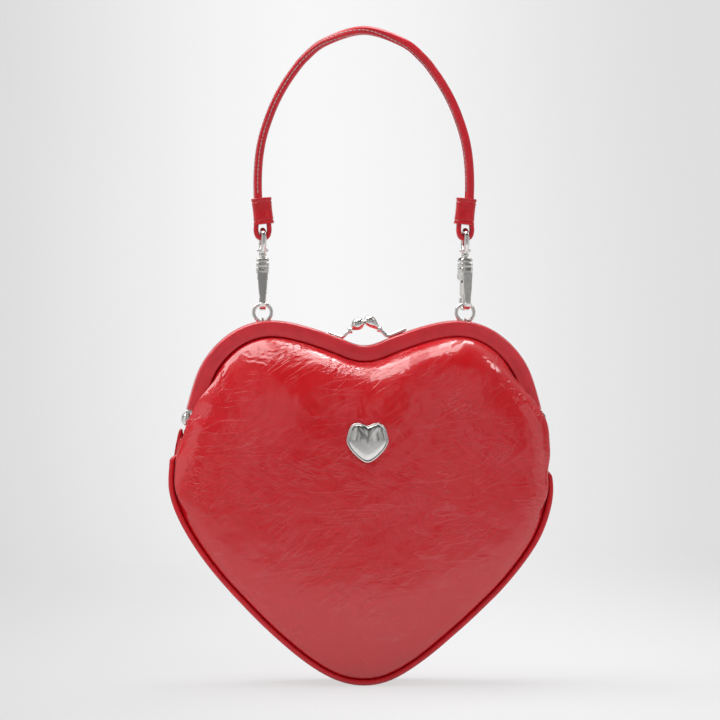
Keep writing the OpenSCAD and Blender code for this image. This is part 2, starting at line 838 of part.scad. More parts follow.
// Block under the collar whose slot holds the gate's upper end
module shoulder() {
    translate([-spine_top_w / 2, -bend_out, spine_z - shoulder_h])
        cube([spine_top_w, 2 * bend_out, shoulder_h + cut]);
}
module gate_slot() {
    slot_w = gate_w + 2 * seat_gap;
    translate([-slot_w / 2, -bend_r / 2, spine_z - shoulder_h - cut])
        cube([slot_w, bend_r / 2 + bend_out + cut, shoulder_h + cut]);
    translate([0, gate_pin_y, gate_pin_z])
        rod_x(-spine_top_w, spine_top_w, gate_pin_r);
}
// Gate: a lever that turns inward about its pin and rests against the inside of the tip
gate_rise = 0.4;
gate_end_z = bend_z + gate_rise;
module gate() {
    eye_out = spine_t / 2 - seat_gap;
    lever_t = bend_r / 2;
    top_share = 0.8;
    difference() {
        union() {
            translate([0, gate_pin_y, gate_pin_z]) rod_x(-gate_w / 2, gate_w / 2, eye_out);
            side_plate(gate_w)
                polygon([
                    [gate_pin_y - eye_out * top_share, gate_pin_z],
                    [gate_pin_y + eye_out * top_share, gate_pin_z],
                    [gate_pin_y + eye_out, bend_z + tip_h + eye_out * 2],
                    [bend_r - seat_gap, bend_z + tip_h + seat_gap],
                    [bend_r - seat_gap, gate_end_z], [bend_r - lever_t, gate_end_z]
                ]);
        }
        translate([0, gate_pin_y, gate_pin_z]) rod_x(-spine_top_w, spine_top_w, gate_pin_r + run_gap);
    }
}
module gate_pin() {
    translate([0, gate_pin_y, gate_pin_z]) rod_x(-spine_top_w / 2, spine_top_w / 2, gate_pin_r);
}
module at_left() { translate([-side_x, 0, 0]) children(); }
module at_right() { translate([side_x, 0, 0]) rotate([0, 0, hook_turn]) children(); }
module left_hook() { color(steel) at_left() hook(); }
module right_hook() { color(steel) at_right() hook(); }
module left_gate() { color(steel) at_left() gate(); }
module right_gate() { color(steel) at_right() gate(); }
module left_gate_pin() { color(steel) at_left() gate_pin(); }
module right_gate_pin() { color(steel) at_right() gate_pin(); }

// Rings
module ring() {
    translate([side_x, 0, ring_top_z - ring_r])
    rotate([90, 0, 0])
    rotate_extrude($fn = round_fn)
    translate([ring_r, 0])
    circle(ring_wire / 2, $fn = fine_fn);
}
module left_ring() { color(steel) mirror([1, 0, 0]) ring(); }
module right_ring() { color(steel) ring(); }

rear_frame();
rear_frame_cover();
front_frame();
front_frame_cover();
left_hinge_pin();
right_hinge_pin();
left_ring_lug();
right_ring_lug();
rear_clasp();
front_clasp();
front_panel();
front_panel_top();
back_panel();
gusset();
front_piping();
back_piping();
front_lining();
front_lining_top();
back_lining();
gusset_lining();
plaque();
plaque_backing();
handle_strap();
handle_filler();
left_keeper();
right_keeper();
left_eye();
right_eye();
left_hook();
right_hook();
left_gate();
right_gate();
left_gate_pin();
right_gate_pin();
left_ring();
right_ring();
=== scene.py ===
"""Looks of the heart shaped frame purse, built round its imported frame."""

import json
import math

import bpy
import numpy as np
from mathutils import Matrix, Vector, noise

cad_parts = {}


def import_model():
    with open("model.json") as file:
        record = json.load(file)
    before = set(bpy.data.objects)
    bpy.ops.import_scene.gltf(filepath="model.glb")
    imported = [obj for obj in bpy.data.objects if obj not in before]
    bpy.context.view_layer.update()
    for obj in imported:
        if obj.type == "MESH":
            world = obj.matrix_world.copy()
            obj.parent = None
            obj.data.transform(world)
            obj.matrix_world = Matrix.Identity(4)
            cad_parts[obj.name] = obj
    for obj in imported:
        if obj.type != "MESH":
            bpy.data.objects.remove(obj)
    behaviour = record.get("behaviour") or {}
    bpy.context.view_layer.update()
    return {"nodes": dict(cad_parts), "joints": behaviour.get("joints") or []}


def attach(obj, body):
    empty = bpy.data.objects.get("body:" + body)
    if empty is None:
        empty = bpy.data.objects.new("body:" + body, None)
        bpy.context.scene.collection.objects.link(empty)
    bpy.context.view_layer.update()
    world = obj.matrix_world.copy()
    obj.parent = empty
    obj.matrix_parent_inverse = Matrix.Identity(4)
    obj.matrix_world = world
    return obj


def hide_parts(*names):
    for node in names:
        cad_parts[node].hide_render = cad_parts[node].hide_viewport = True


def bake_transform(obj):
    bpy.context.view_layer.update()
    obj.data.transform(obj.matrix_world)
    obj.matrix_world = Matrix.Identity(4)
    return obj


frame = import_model()
joints = {j["name"]: j for j in frame["joints"]}
nodes = frame["nodes"]

# Lengths in this script are millimetres until a mesh is made
MM = 0.001
seam_y, hinge_z = (v / MM for v in joints["frame_open"]["pos_m"][1:])
loop_z = joints["left_eye_swing"]["pos_m"][2] / MM
ring_top_z = joints["left_ring_rock"]["pos_m"][2] / MM
side_x = abs(joints["left_eye_swing"]["pos_m"][0]) / MM

# The purse's own sizes
HEART_W = 205
HEART_H = 193.5
CROWN_D = 34
GUSSET_W = 40
BAND_W = 8.5
HALF_D = 5
FRAME_STEP = 1.8
COVER_T = 1.2
LEAF_R = 3.2
PIPING_D = 3
SOFT_GAP = 0.25
HALF_GAP = 0.15

HEART_SHARES = np.array([
    [0, 0.93], [0.137, 0.951], [0.332, 1],
    [0.483, 1], [0.654, 1], [0.79, 0.937],
    [0.854, 0.87], [0.884, 0.839], [0.91, 0.783],
    [0.937, 0.728], [0.957, 0.684], [1, 0.617],
    [1, 0.548], [1, 0.478], [0.859, 0.343],
    [0.697, 0.251], [0.527, 0.16], [0.234, 0],
    [0, 0],
])
HINGE_INDEX = 9
CURVES_OVER_HINGE = 3
MID_SHARE = 0.607

tip_z = hinge_z - HEART_H * HEART_SHARES[HINGE_INDEX][1]
lobe_z = tip_z + HEART_H
mid = np.array([0, tip_z + HEART_H * MID_SHARE])


def heart_half(steps):
    """Right half of the outline, from the dip over the lobe to the tip, as [x, z] points."""
    points = HEART_SHARES * [HEART_W / 2, HEART_H] + [0, tip_z]
    t = np.linspace(0, 1, steps, endpoint=False)[:, None]
    half = []
    for k in range(0, len(points) - 1, 3):
        a, b, c, d = points[k : k + 4]
        half.append((1 - t) ** 3 * a + 3 * (1 - t) ** 2 * t * b + 3 * (1 - t) * t * t * c + t**3 * d)
    return np.vstack(half + [points[-1:]])


def inward(path, closed=False):
    """Unit vectors that point into the heart from a path that runs clockwise."""
    if closed:
        run = np.roll(path, -1, 0) - np.roll(path, 1, 0)
    else:
        run = np.gradient(path, axis=0)
    run /= np.linalg.norm(run, axis=1)[:, None]
    return np.stack([run[:, 1], -run[:, 0]], 1)


STEPS = 24
DIP_ROUND = 8
DIP_SLOPE = 0.3
DIP_DROP = 0.9
DIP_WIDE = 10
half = heart_half(STEPS)
dip = half[:, 1] > hinge_z
half[dip, 1] += DIP_SLOPE / 2 / DIP_ROUND * np.clip(DIP_ROUND - half[dip, 0], 0, None) ** 2
half[dip, 1] -= DIP_DROP * np.exp(-((half[dip, 0] / DIP_WIDE) ** 2))
flipped = half * [-1, 1]
over_count = CURVES_OVER_HINGE * STEPS
outline = np.vstack([half, flipped[-2:0:-1]])
over_path = np.vstack([flipped[over_count:0:-1], half[: over_count + 1]])
under_path = np.vstack([half[over_count:], flipped[-2 : over_count - 1 : -1]])


def smooth(t):
    u = np.clip(t, 0, 1)
    return u * u * (3 - 2 * u)


GROW_SHARE = 0.66
TUCK = 0.6
# How full the panel is filled in each direction from its middle, in degrees from the right
FILL_TURNS = [-180, -150, -120, -60, -30, 0, 30, 60, 76, 90, 105, 150]
FILL_POWERS = [2.8, 3.4, 4.6, 4.6, 3.8, 3.8, 4.2, 4.2, 3.6, 2.9, 2.6, 2.5]
FILL_CROWNS = [0.72, 0.68, 0.66, 0.66, 0.62, 0.57, 0.53, 0.53, 0.6, 0.68, 0.74, 0.75]
FILL_EASE = np.arange(-12, 13, 3)
FRONT_CROWN_D = 31.5
BACK_POWER = 2.4
BACK_CROWN = 0.6
RIM_FADE = 12


def edge_depth(z):
    low = HALF_D - TUCK
    return low + (GUSSET_W / 2 - low) * smooth((hinge_z - z) / (hinge_z - tip_z) / GROW_SHARE)


def rim_inset(z):
    low, high = PIPING_D + SOFT_GAP, BAND_W + SOFT_GAP
    return low + (high - low) * smooth(1 + (z - hinge_z) / RIM_FADE)


def fill_at(angle, values):
    """A value of the fill tables in each direction, averaged over the directions near it."""
    turn = np.degrees(angle)
    return sum(np.interp(turn + off, FILL_TURNS, values, period=360) for off in FILL_EASE) / len(FILL_EASE)


def depth(z, share, angle, side):
    """Depth of the panel from the seam. side is -1 in front and 1 behind."""
    edge = edge_depth(z)
    power, crown, full = BACK_POWER, BACK_CROWN, CROWN_D
    if side < 0:
        power, crown, full = fill_at(angle, FILL_POWERS), fill_at(angle, FILL_CROWNS), FRONT_CROWN_D
    return edge + (full - edge) * (1 - np.clip(share, 0, 1) ** power) ** crown


rim = outline + rim_inset(outline[:, 1])[:, None] * inward(outline, closed=True)


# Camera

PX = 0.5325
PHOTO_AXIS = 364
PHOTO_APEX = 34.5
FRAME_PX = 720
CAMERA_FAR = 1800
CAMERA_TURN = 3
SENSOR_W = 36
CLIP_END = 20

scene = bpy.context.scene
scene.view_settings.view_transform = "Standard"


def add_camera():
    """Camera level with the middle of the picture, turned a few degrees."""
    data = bpy.data.cameras.new("camera")
    data.sensor_width = SENSOR_W
    data.lens = SENSOR_W * CAMERA_FAR / (FRAME_PX * PX)
    data.clip_end = CLIP_END
    cam = bpy.data.objects.new("camera", data)
    turn = math.radians(CAMERA_TURN)
    aim = np.array([(FRAME_PX / 2 - PHOTO_AXIS) * PX, 0, (PHOTO_APEX - FRAME_PX / 2) * PX])
    cam.location = (aim + CAMERA_FAR * np.array([-math.sin(turn), -math.cos(turn), 0])) * MM
    cam.rotation_euler = (math.pi / 2, 0, -turn)
    scene.collection.objects.link(cam)
    scene.camera = cam


add_camera()


# Mesh tools

ROD_SIDES = 14


def make_object(name, points, faces):
    mesh = bpy.data.meshes.new(name)
    mesh.from_pydata((np.asarray(points, float) * MM).tolist(), [], [list(map(int, f)) for f in faces])
    mesh.validate()
    mesh.shade_smooth()
    keep_rest(mesh)
    obj = bpy.data.objects.new(name, mesh)
    scene.collection.objects.link(obj)
    return obj


def keep_rest(mesh):
    """Stores each point's place at rest, in millimetres, for the materials."""
    co = np.zeros(len(mesh.vertices) * 3, np.float32)
    mesh.vertices.foreach_get("co", co)
    rest = mesh.attributes.get("rest") or mesh.attributes.new("rest", "FLOAT_VECTOR", "POINT")
    rest.data.foreach_set("vector", co / MM)


def store(obj, name, values):
    """Stores one number a point on a mesh, for the materials."""
    layer = obj.data.attributes.new(name, "FLOAT", "POINT")
    layer.data.foreach_set("value", np.asarray(values, np.float32))


def points_of(obj):
    co = np.zeros(len(obj.data.vertices) * 3, np.float32)
    obj.data.vertices.foreach_get("co", co)
    return co.reshape(-1, 3).astype(float) / MM


def place(obj, degrees, x):
    """Turns a finished piece about the upright axis and moves it sideways."""
    c, s = math.cos(math.radians(degrees)), math.sin(math.radians(degrees))
    p = points_of(obj)
    p[:, 0], p[:, 1] = p[:, 0] * c - p[:, 1] * s + x, p[:, 0] * s + p[:, 1] * c
    obj.data.vertices.foreach_set("co", (p * MM).astype(np.float32).ravel())
    obj.data.update()
    keep_rest(obj.data)


def wall(rings, count, closed=True):
    """Faces between rings of count points each."""
    faces = []
    for k in range(rings - 1):
        a, b = k * count, (k + 1) * count
        for i in range(count if closed else count - 1):
            j = (i + 1) % count
            faces.append((a + i, a + j, b + j, b + i))
    return faces


def sweep(name, rings, closed=False):
    """Solid along rings of points, capped at its ends or closed into a loop."""
    count, last = len(rings[0]), (len(rings) - 1) * len(rings[0])
    faces = wall(len(rings), count)
    if closed:
        faces += [(last + i, last + (i + 1) % count, (i + 1) % count, i) for i in range(count)]
    else:
        faces += [tuple(reversed(range(count))), tuple(range(last, last + count))]
    return make_object(name, np.vstack(rings), faces)


def circle(count):
    a = np.linspace(0, 2 * math.pi, count, endpoint=False)
    return np.stack([np.cos(a), np.sin(a)], 1)


def rounded(step, halves, powers):
    """Rounded rectangle as [x, y] points, one every step degrees."""
    a = np.radians(np.arange(0, 360, step))
    c, s = np.cos(a), np.sin(a)
    return np.stack([np.copysign(abs(c) ** powers[0], c), np.copysign(abs(s) ** powers[1], s)], 1) * halves


def tube(name, path, radius, up=(0, 1, 0)):
    """Round rod along a path, with one radius or one for each point."""
    radii = np.broadcast_to(radius, len(path))
    run = np.gradient(path, axis=0)
    run /= np.linalg.norm(run, axis=1)[:, None]
    side = np.cross(run, up)
    side /= np.linalg.norm(side, axis=1)[:, None]
    top = np.cross(side, run)
    ring = circle(ROD_SIDES)
    rings = [p + r * (ring[:, :1] * s + ring[:, 1:] * t) for p, r, s, t in zip(path, radii, side, top)]
    return sweep(name, rings)


def turned(name, profile, sides=32, axis=(0, 0, 1), start=(0, 0, 0)):
    """Turned form. profile holds [distance along the axis, radius] pairs."""
    axis = np.divide(axis, np.linalg.norm(axis))
    side = np.cross(axis, [0, 1, 0])
    side /= np.linalg.norm(side)
    top = np.cross(axis, side)
    ring = circle(sides)
    return sweep(name, [start + t * axis + r * (ring[:, :1] * side + ring[:, 1:] * top) for t, r in profile])


def spline(points, count):
    """Smooth curve through points."""
    points = np.asarray(points, float)
    padded = np.vstack([2 * points[0] - points[1], points, 2 * points[-1] - points[-2]])
    out = []
    for t in np.linspace(0, len(points) - 1, count):
        k = min(int(t), len(points) - 2)
        f = t - k
        p0, p1, p2, p3 = padded[k : k + 4]
        square = (2 * p0 - 5 * p1 + 4 * p2 - p3) * f**2
        cube = (3 * p1 - p0 - 3 * p2 + p3) * f**3
        out.append(0.5 * (2 * p1 + (p2 - p0) * f + square + cube))
    return np.array(out)


def join(name, objs):
    """One object from several, with the first one's materials."""
    bpy.ops.object.select_all(action="DESELECT")
    for o in objs:
        o.select_set(True)
    bpy.context.view_layer.objects.active = objs[0]
    bpy.ops.object.join()
    objs[0].name = name
    return objs[0]


# Materials


class Nodes:
    """Short ways to make and link the nodes of a material or a world."""

    def __init__(self, owner, main="Principled BSDF"):
        owner.use_nodes = True
        self.owner = owner
        self.tree = owner.node_tree
        self.main = self.tree.nodes[main]

    def add(self, kind, inputs=None, **settings):
        node = self.tree.nodes.new("ShaderNode" + kind)
        for key, value in settings.items():
            setattr(node, key, value)
        for key, value in (inputs or {}).items():
            self.feed(node.inputs[key], value)
        return node

    def feed(self, socket, value):
        if isinstance(value, bpy.types.NodeSocket):
            self.tree.links.new(value, socket)
        else:
            socket.default_value = value

    def set(self, **values):
        for key, value in values.items():
            self.feed(self.main.inputs[key.replace("_", " ")], value)

    def attribute(self, name, output="Fac"):
        return self.add("Attribute", attribute_name=name).outputs[output]

    def rest(self):
        return self.attribute("rest", "Vector")

    def place(self):
        """Place on a rigid CAD node, in millimetres."""
        return self.scaled(self.add("TexCoord").outputs["Object"], (1 / MM, 1 / MM, 1 / MM))

    def scaled(self, vector, by):
        return self.add("VectorMath", {0: vector, 1: by}, operation="MULTIPLY").outputs[0]

    def noise(self, vector, scale, detail=3.0, roughness=0.55, distortion=0.0):
        inputs = {"Vector": vector, "Scale": scale, "Detail": detail}
        inputs.update({"Roughness": roughness, "Distortion": distortion})
        return self.add("TexNoise", inputs).outputs["Fac"]

    def cells(self, vector, scale):
        return self.add("TexVoronoi", {"Vector": vector, "Scale": scale}).outputs["Distance"]

    def wave(self, vector, scale, distortion=0.0):
        inputs = {"Vector": vector, "Scale": scale, "Distortion": distortion}
        return self.add("TexWave", inputs, bands_direction="DIAGONAL").outputs["Fac"]

    def math(self, operation, a, b=0.0):
        return self.add("Math", {0: a, 1: b}, operation=operation).outputs[0]

    def times(self, *values):
        return self.fold("MULTIPLY", values)

    def total(self, *values):
        return self.fold("ADD", values)

    def fold(self, operation, values):
        """One value from several, two at a time."""
        result = values[0]
        for value in values[1:]:
            result = self.math(operation, result, value)
        return result

    def ramp(self, value, low, high, out_low=0.0, out_high=1.0):
        inputs = {"Value": value, "From Min": low, "From Max": high, "To Min": out_low, "To Max": out_high}
        return self.add("MapRange", inputs, interpolation_type="SMOOTHSTEP").outputs["Result"]

    def mix(self, share, a, b):
        return self.add("Mix", {"Factor": share, "A": a, "B": b}, data_type="RGBA").outputs["Result"]

    def bump(self, height, distance, strength):
        inputs = {"Strength": strength, "Distance": distance * MM, "Height": height}
        return self.add("Bump", inputs).outputs["Normal"]


def material_nodes(name):
    return Nodes(bpy.data.materials.new(name))


def rgb(*levels):
    """Linear colour from one written as 0 to 255."""
    shares = [v / 255 for v in levels]
    return tuple(v / 12.92 if v <= 0.04045 else ((v + 0.055) / 1.055) ** 2.4 for v in shares) + (1.0,)


def darker(colour, share):
    return tuple(share * c for c in colour[:3]) + (1.0,)


WHITE = (1, 1, 1, 1)
NICKEL = (0.9, 0.885, 0.855, 1)
DEEP_RED = rgb(204, 6, 18)
MID_RED = rgb(204, 20, 32)
# Paler colour along creases: partly rubbed pigment, partly a painted highlight where crease edges catch the
# light
CREASE_RUB_AND_HIGHLIGHT = rgb(214, 96, 102)
RUBBED_PINK = rgb(214, 88, 96)
MIRRORED = (1, 1, -1)
LINE_STRETCH = (0.13, 0.5, 1)
LINE_SHARP = 70
WEAVE_SCALE = 2
# Each kind of crinkle: the directions of the creases that it goes with, then its lines' direction,
# fineness and seed
CRINKLES = {
    "crinkle_rising": ((5, 56), (28, 0.5, 3)),
    "crinkle_falling": ((-56, 5), (-24, 0.42, 11)),
    "crinkle_upright": ((56, 124), (96, 0.4, 17)),
}
# Faint lines between the crinkles: direction, fineness, seed and sharpness, then where they show
FAINT_LINES = [((6, 0.16, 23, 110), (1, 1, 1), (0.42, 0.62)), ((38, 0.2, 31, 90), MIRRORED, (0.45, 0.64))]


def crinkle(m, spot, turn, fine, seed, sharp=LINE_SHARP):
    """Thin lines that all run one way, as a height from 0 to 1."""
    swung = m.add("VectorRotate", {"Vector": spot, "Angle": math.radians(turn)}, rotation_type="Y_AXIS")
    long_way = m.scaled(swung.outputs[0], LINE_STRETCH)
    moved = m.add("VectorMath", {0: long_way, 1: (seed, seed, seed)}, operation="ADD").outputs[0]
    off = m.math("ABSOLUTE", m.math("SUBTRACT", m.noise(moved, fine, detail=1.5, roughness=0.5), 0.5))
    return m.math("POWER", m.math("SUBTRACT", 1.0, off), sharp)


def patent_leather():
    m = material_nodes("patent_leather")
    spot = m.rest()
    lines = m.total(*[
        m.times(crinkle(m, spot, *look), m.attribute(kind)) for kind, (_, look) in CRINKLES.items()
    ])
    faint = m.total(*[
        m.times(crinkle(m, spot, *look), m.ramp(m.noise(m.scaled(spot, way), 0.035, detail=2.0), *edges))
        for look, way, edges in FAINT_LINES
    ])
    dimple = m.noise(spot, 0.12, detail=2.0, roughness=0.5, distortion=0.6)
    grain = m.noise(spot, 1.7)
    height = m.total(m.times(lines, 0.55), m.times(faint, 0.2), m.times(dimple, 0.8), m.times(grain, 0.03))
    patch = m.ramp(m.noise(spot, 0.03, roughness=0.6), 0.35, 0.66)
    # Crease and faint lines are painted paler: partly rubbed pigment, partly a painted highlight on their
    # edges
    marks = m.math("MAXIMUM", m.times(faint, 0.7), m.times(m.attribute("crease"), 0.3))
    worn = m.noise(spot, 0.045, detail=2.0)
    m.set(
        Base_Color=m.mix(m.times(marks, 0.4), m.mix(patch, MID_RED, DEEP_RED), CREASE_RUB_AND_HIGHLIGHT),
        Roughness=m.ramp(worn, 0.3, 0.7, 0.26, 0.38), Normal=m.bump(height, 0.4, 0.8), Specular_IOR_Level=0.3,
        Coat_Weight=1.0, Coat_IOR=1.6, Coat_Roughness=0.045, Coat_Normal=m.bump(height, 0.4, 0.75),
    )
    return m.owner


def smooth_leather(name, colour, roughness, coat, coat_roughness=0.08):
    m = material_nodes(name)
    spot = m.rest()
    cloud = m.noise(spot, 0.12)
    shade = m.mix(m.ramp(cloud, 0.3, 0.7), colour, darker(colour, 0.86))
    rub = m.ramp(m.noise(spot, 0.7, detail=4.0), 0.62, 0.8, 0.0, 0.25)
    height = m.total(m.times(m.cells(spot, 1.3), 0.4), m.noise(spot, 0.3))
    m.set(
        Base_Color=m.mix(rub, shade, RUBBED_PINK), Normal=m.bump(height, 0.09, 0.6), Specular_IOR_Level=0.35,
        Roughness=m.ramp(cloud, 0.3, 0.7, roughness - 0.05, roughness + 0.07),
        Coat_Weight=coat, Coat_Roughness=coat_roughness, Coat_Normal=m.bump(height, 0.05, 0.5),
    )
    return m.owner


def metal(name, roughness, cad):
    m = material_nodes(name)
    spot = m.place() if cad else m.rest()
    cloud = m.noise(spot, 0.5)
    m.set(
        Base_Color=m.mix(m.ramp(cloud, 0.35, 0.7), NICKEL, darker(NICKEL, 0.9)), Metallic=1.0,
        Roughness=m.ramp(cloud, 0.3, 0.7, roughness, roughness + 0.05),
        Normal=m.bump(m.noise(spot, 0.9, detail=2.0), 0.03, 0.2),
    )
    return m.owner


def woven(name, colour):
    m = material_nodes(name)
    spot = m.rest()
    weave = m.times(m.wave(spot, WEAVE_SCALE / 2, 0.4), m.wave(m.scaled(spot, MIRRORED), WEAVE_SCALE / 3))
    shade = m.mix(weave, darker(colour, 0.62), colour)
    m.set(Base_Color=shade, Normal=m.bump(weave, 0.12, 0.7), Roughness=0.62, Sheen_Weight=0.35)
    return m.owner


def thread_material():
    m = material_nodes("thread")
    ply = m.wave(m.rest(), 1.6, 1.0)
    shade = m.mix(ply, rgb(150, 132, 132), rgb(214, 204, 203))
    m.set(Base_Color=shade, Normal=m.bump(ply, 0.08, 0.6), Roughness=0.7)
    return m.owner


nickel_cad = metal("nickel", 0.1, cad=True)
nickel = metal("nickel_fittings", 0.08, cad=False)
MATERIALS = {
    "panel_leather": patent_leather(),
    "frame_leather": smooth_leather("frame_leather", rgb(218, 44, 55), 0.46, 1.0, coat_roughness=0.05),
    "piping_leather": smooth_leather("piping_leather", rgb(206, 26, 38), 0.3, 0.35),
    "gusset_leather": smooth_leather("gusset_leather", rgb(196, 20, 32), 0.3, 0.35),
    "strap_leather": smooth_leather("strap_leather", rgb(208, 30, 44), 0.3, 0.4),
    "keeper_leather": smooth_leather("keeper_leather", rgb(202, 22, 34), 0.26, 0.5),
    "lining": woven("lining_cloth", rgb(138, 20, 32)),
    "hook_metal": nickel, "ring_metal": nickel, "clasp_metal": nickel, "plaque_metal": nickel,
}


def dress(obj, body, slot, *hidden, material=None):
    """Gives a finished piece the material of its slot, hides the nodes it stands for and puts it on its body,
    if it has one.
    """
    obj.data.materials.clear()
    obj.data.materials.append(material or MATERIALS[slot])
    if hidden:
        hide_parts(*hidden)
    if body:
        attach(obj, body)


# Panels

PANEL_CELLS = 290
LINING_CELLS = 90
PANEL_T = 1.4
LINING_SINK = 2.1
LINING_T = 0.5
# Edge of the filled panel beside the hinges, from the photograph: height over the hinge, then half width
LEFT_EDGE = [
    (-19.7, 97.6), (-16, 95.6), (-12, 93.9), (-8, 93.1), (-5.3, 93.1), (-2.1, 93.3), (0.8, 92.8),
    (4, 91.2), (10.3, 88.3), (14.4, 85.1), (20.7, 81),
]
RIGHT_EDGE = [
    (-29, 99.2), (-23.8, 99.3), (-15.8, 97.9), (-9.6, 97.5), (-4, 97), (0, 95.8), (2.6, 94.6),
    (8, 90.8), (14.7, 85.6), (21.5, 80.9), (28, 77),
]
GROOVE = 2.4
GROOVE_SHARE = 0.972
GROOVE_LOW = 6
GROOVE_FADE = 10
FACE_SHARE = 0.95
FACE_END = 0.965
TURN_EASE = 2
TURN_STEPS = 15
TURN_EDGE = 1.3
# How far the hanging body stands from its drawn outline: drop below the hinge, left side, right side
SETTLE = np.array([
    (0, -0.4, 0), (4, -1.8, 0), (8, -3, 0), (12.5, -3.1, 0), (16.7, -2.7, 0), (21, -2.3, -1.2),
    (25, -1.7, -2.6), (29.5, -1.7, -2.8), (38, -1.3, -2.4), (46.5, -1.1, -1.6), (55, -0.7, -0.9),
    (63.5, -0.2, -0.4), (72, 0.4, -0.9), (80.5, 1, -1.6), (89, 1.6, -2.2), (97.5, 1.3, -2.5),
    (106, 0.9, -2.8), (114.5, 0.8, -3.4), (123, 0.5, -3.3), (132, 0.1, -3.1), (141, 0, -1.9),
])
DROP_STEP = 0.5
EASE = 3
LEAST_HALF_W = 10
TIP_LIFT = 1
TIP_WIDE = 12
TIP_DROP = 105
TIP_FADE = 35
low_half = half[half[:, 1] < hinge_z + 20][::-1]
drops = np.arange(-20, 150, DROP_STEP)


def eased(values):
    """Values at each drop with their corners rounded off."""
    reach = int(3 * EASE / DROP_STEP)
    weight = np.exp(-((np.arange(-reach, reach + 1) * DROP_STEP / EASE) ** 2))
    return np.convolve(np.pad(values, reach, mode="edge"), weight / weight.sum(), mode="valid")


settle_left, settle_right = (eased(np.interp(drops, SETTLE[:, 0], off, left=0)) for off in SETTLE.T[1:])


def settle(points):
    """Moves points of the soft body sideways, the way the filled leather hangs, and rounds its tip."""
    points = np.array(points, float)
    drop = hinge_z - points[..., 2]
    left, right = np.interp(drop, drops, settle_left), np.interp(drop, drops, settle_right)
    wide = np.maximum(np.interp(points[..., 2], low_half[:, 1], low_half[:, 0]), LEAST_HALF_W)
    across = np.clip(points[..., 0] / wide, -1, 1)
    at_tip = np.exp(-((points[..., 0] / TIP_WIDE) ** 2)) * smooth((drop - TIP_DROP) / TIP_FADE)
    points[..., 2] += TIP_LIFT * at_tip
    points[..., 0] += left + (right - left) * (across + 1) / 2
    return points


def rim_reach(angles):
    """Distance from the middle to the rim in each direction."""
    v = rim - mid
    known = np.arctan2(v[:, 1], v[:, 0])
    order = np.argsort(known)
    return np.interp(angles, known[order], np.linalg.norm(v, axis=1)[order], period=2 * math.pi)


def face_reach(angles):
    """Distance from the middle to the panel's edge as it is seen, which bulges past the rim at the hinges."""
    reach = rim_reach(angles)
    for side, edge in ((-1, LEFT_EDGE), (1, RIGHT_EDGE)):
        edge = np.array(edge)
        across, up = side * edge[:, 1], edge[:, 0] + hinge_z - mid[1]
        turns = np.arctan2(up, np.abs(across))
        own = np.where(side > 0, angles, np.pi - angles)
        own = (own + np.pi) % (2 * np.pi) - np.pi
        inside = (own > turns[0]) & (own < turns[-1])
        reach = np.where(inside, np.interp(own, turns, np.hypot(across, up)), reach)
    return reach


def evened(reach, angles, turn):
    """A reach averaged over the directions up to turn degrees to each side."""
    turns = np.radians(np.linspace(-turn, turn, TURN_STEPS))
    weights = np.cos(np.linspace(-TURN_EDGE, TURN_EDGE, TURN_STEPS))
    return sum(w * reach(angles + t) for w, t in zip(weights, turns)) / weights.sum()


SOFT_TURN = 24
SOFT_POWER = 8
CROWDING = 1.3
ROLL_TURNS = [-20, -6, 20, 40]


def swollen_at(angles):
    """How much the panel's edge rolls over its rim, from 0 to 1, beside the two hinges."""
    turn = np.degrees(np.arctan2(np.sin(angles), np.abs(np.cos(angles))))
    low, full_low, full_high, high = ROLL_TURNS
    return smooth((turn - low) / (full_low - low)) * (1 - smooth((turn - full_high) / (high - full_high)))


def panel_spots(cells):
    """Even grid of [x, z] spots over the panel, with each one's share of the way to the rim."""
    u, v = np.meshgrid(np.linspace(-1, 1, cells + 1), np.linspace(-1, 1, cells + 1))
    x, y = u * np.sqrt(1 - v * v / 2), v * np.sqrt(1 - u * u / 2)
    share = (1 - (1 - np.clip(np.hypot(x, y), 0, 1)) ** CROWDING).ravel()
    angle = np.arctan2(y, x).ravel()
    hard = rim_reach(angle)
    face = evened(face_reach, angle, TURN_EASE)
    soft = evened(face_reach, angle, SOFT_TURN)
    swollen = swollen_at(angle)
    widest = face - (1 - FACE_END) * hard * (1 - swollen)
    inner = np.clip(share / FACE_SHARE, 0, 1)
    reach = inner * (soft + (widest - soft) * inner**SOFT_POWER)
    tuck = np.clip((share - FACE_SHARE) / (1 - FACE_SHARE), 0, 1)
    round_in = (1 - swollen) * (1 - tuck) + swollen * np.sqrt(1 - tuck**2)
    reach = np.where(share > FACE_SHARE, hard + (widest - hard) * round_in, reach)
    spots = np.stack([reach * np.cos(angle), reach * np.sin(angle)], -1) + mid
    return spots, share, angle, inner * FACE_END, tuck, swollen


def fbm(points, scale, seed):
    """Soft noise from -1 to 1 at each [x, z] point."""
    return np.array([noise.noise(Vector((p[0] * scale, p[1] * scale, seed))) for p in points])


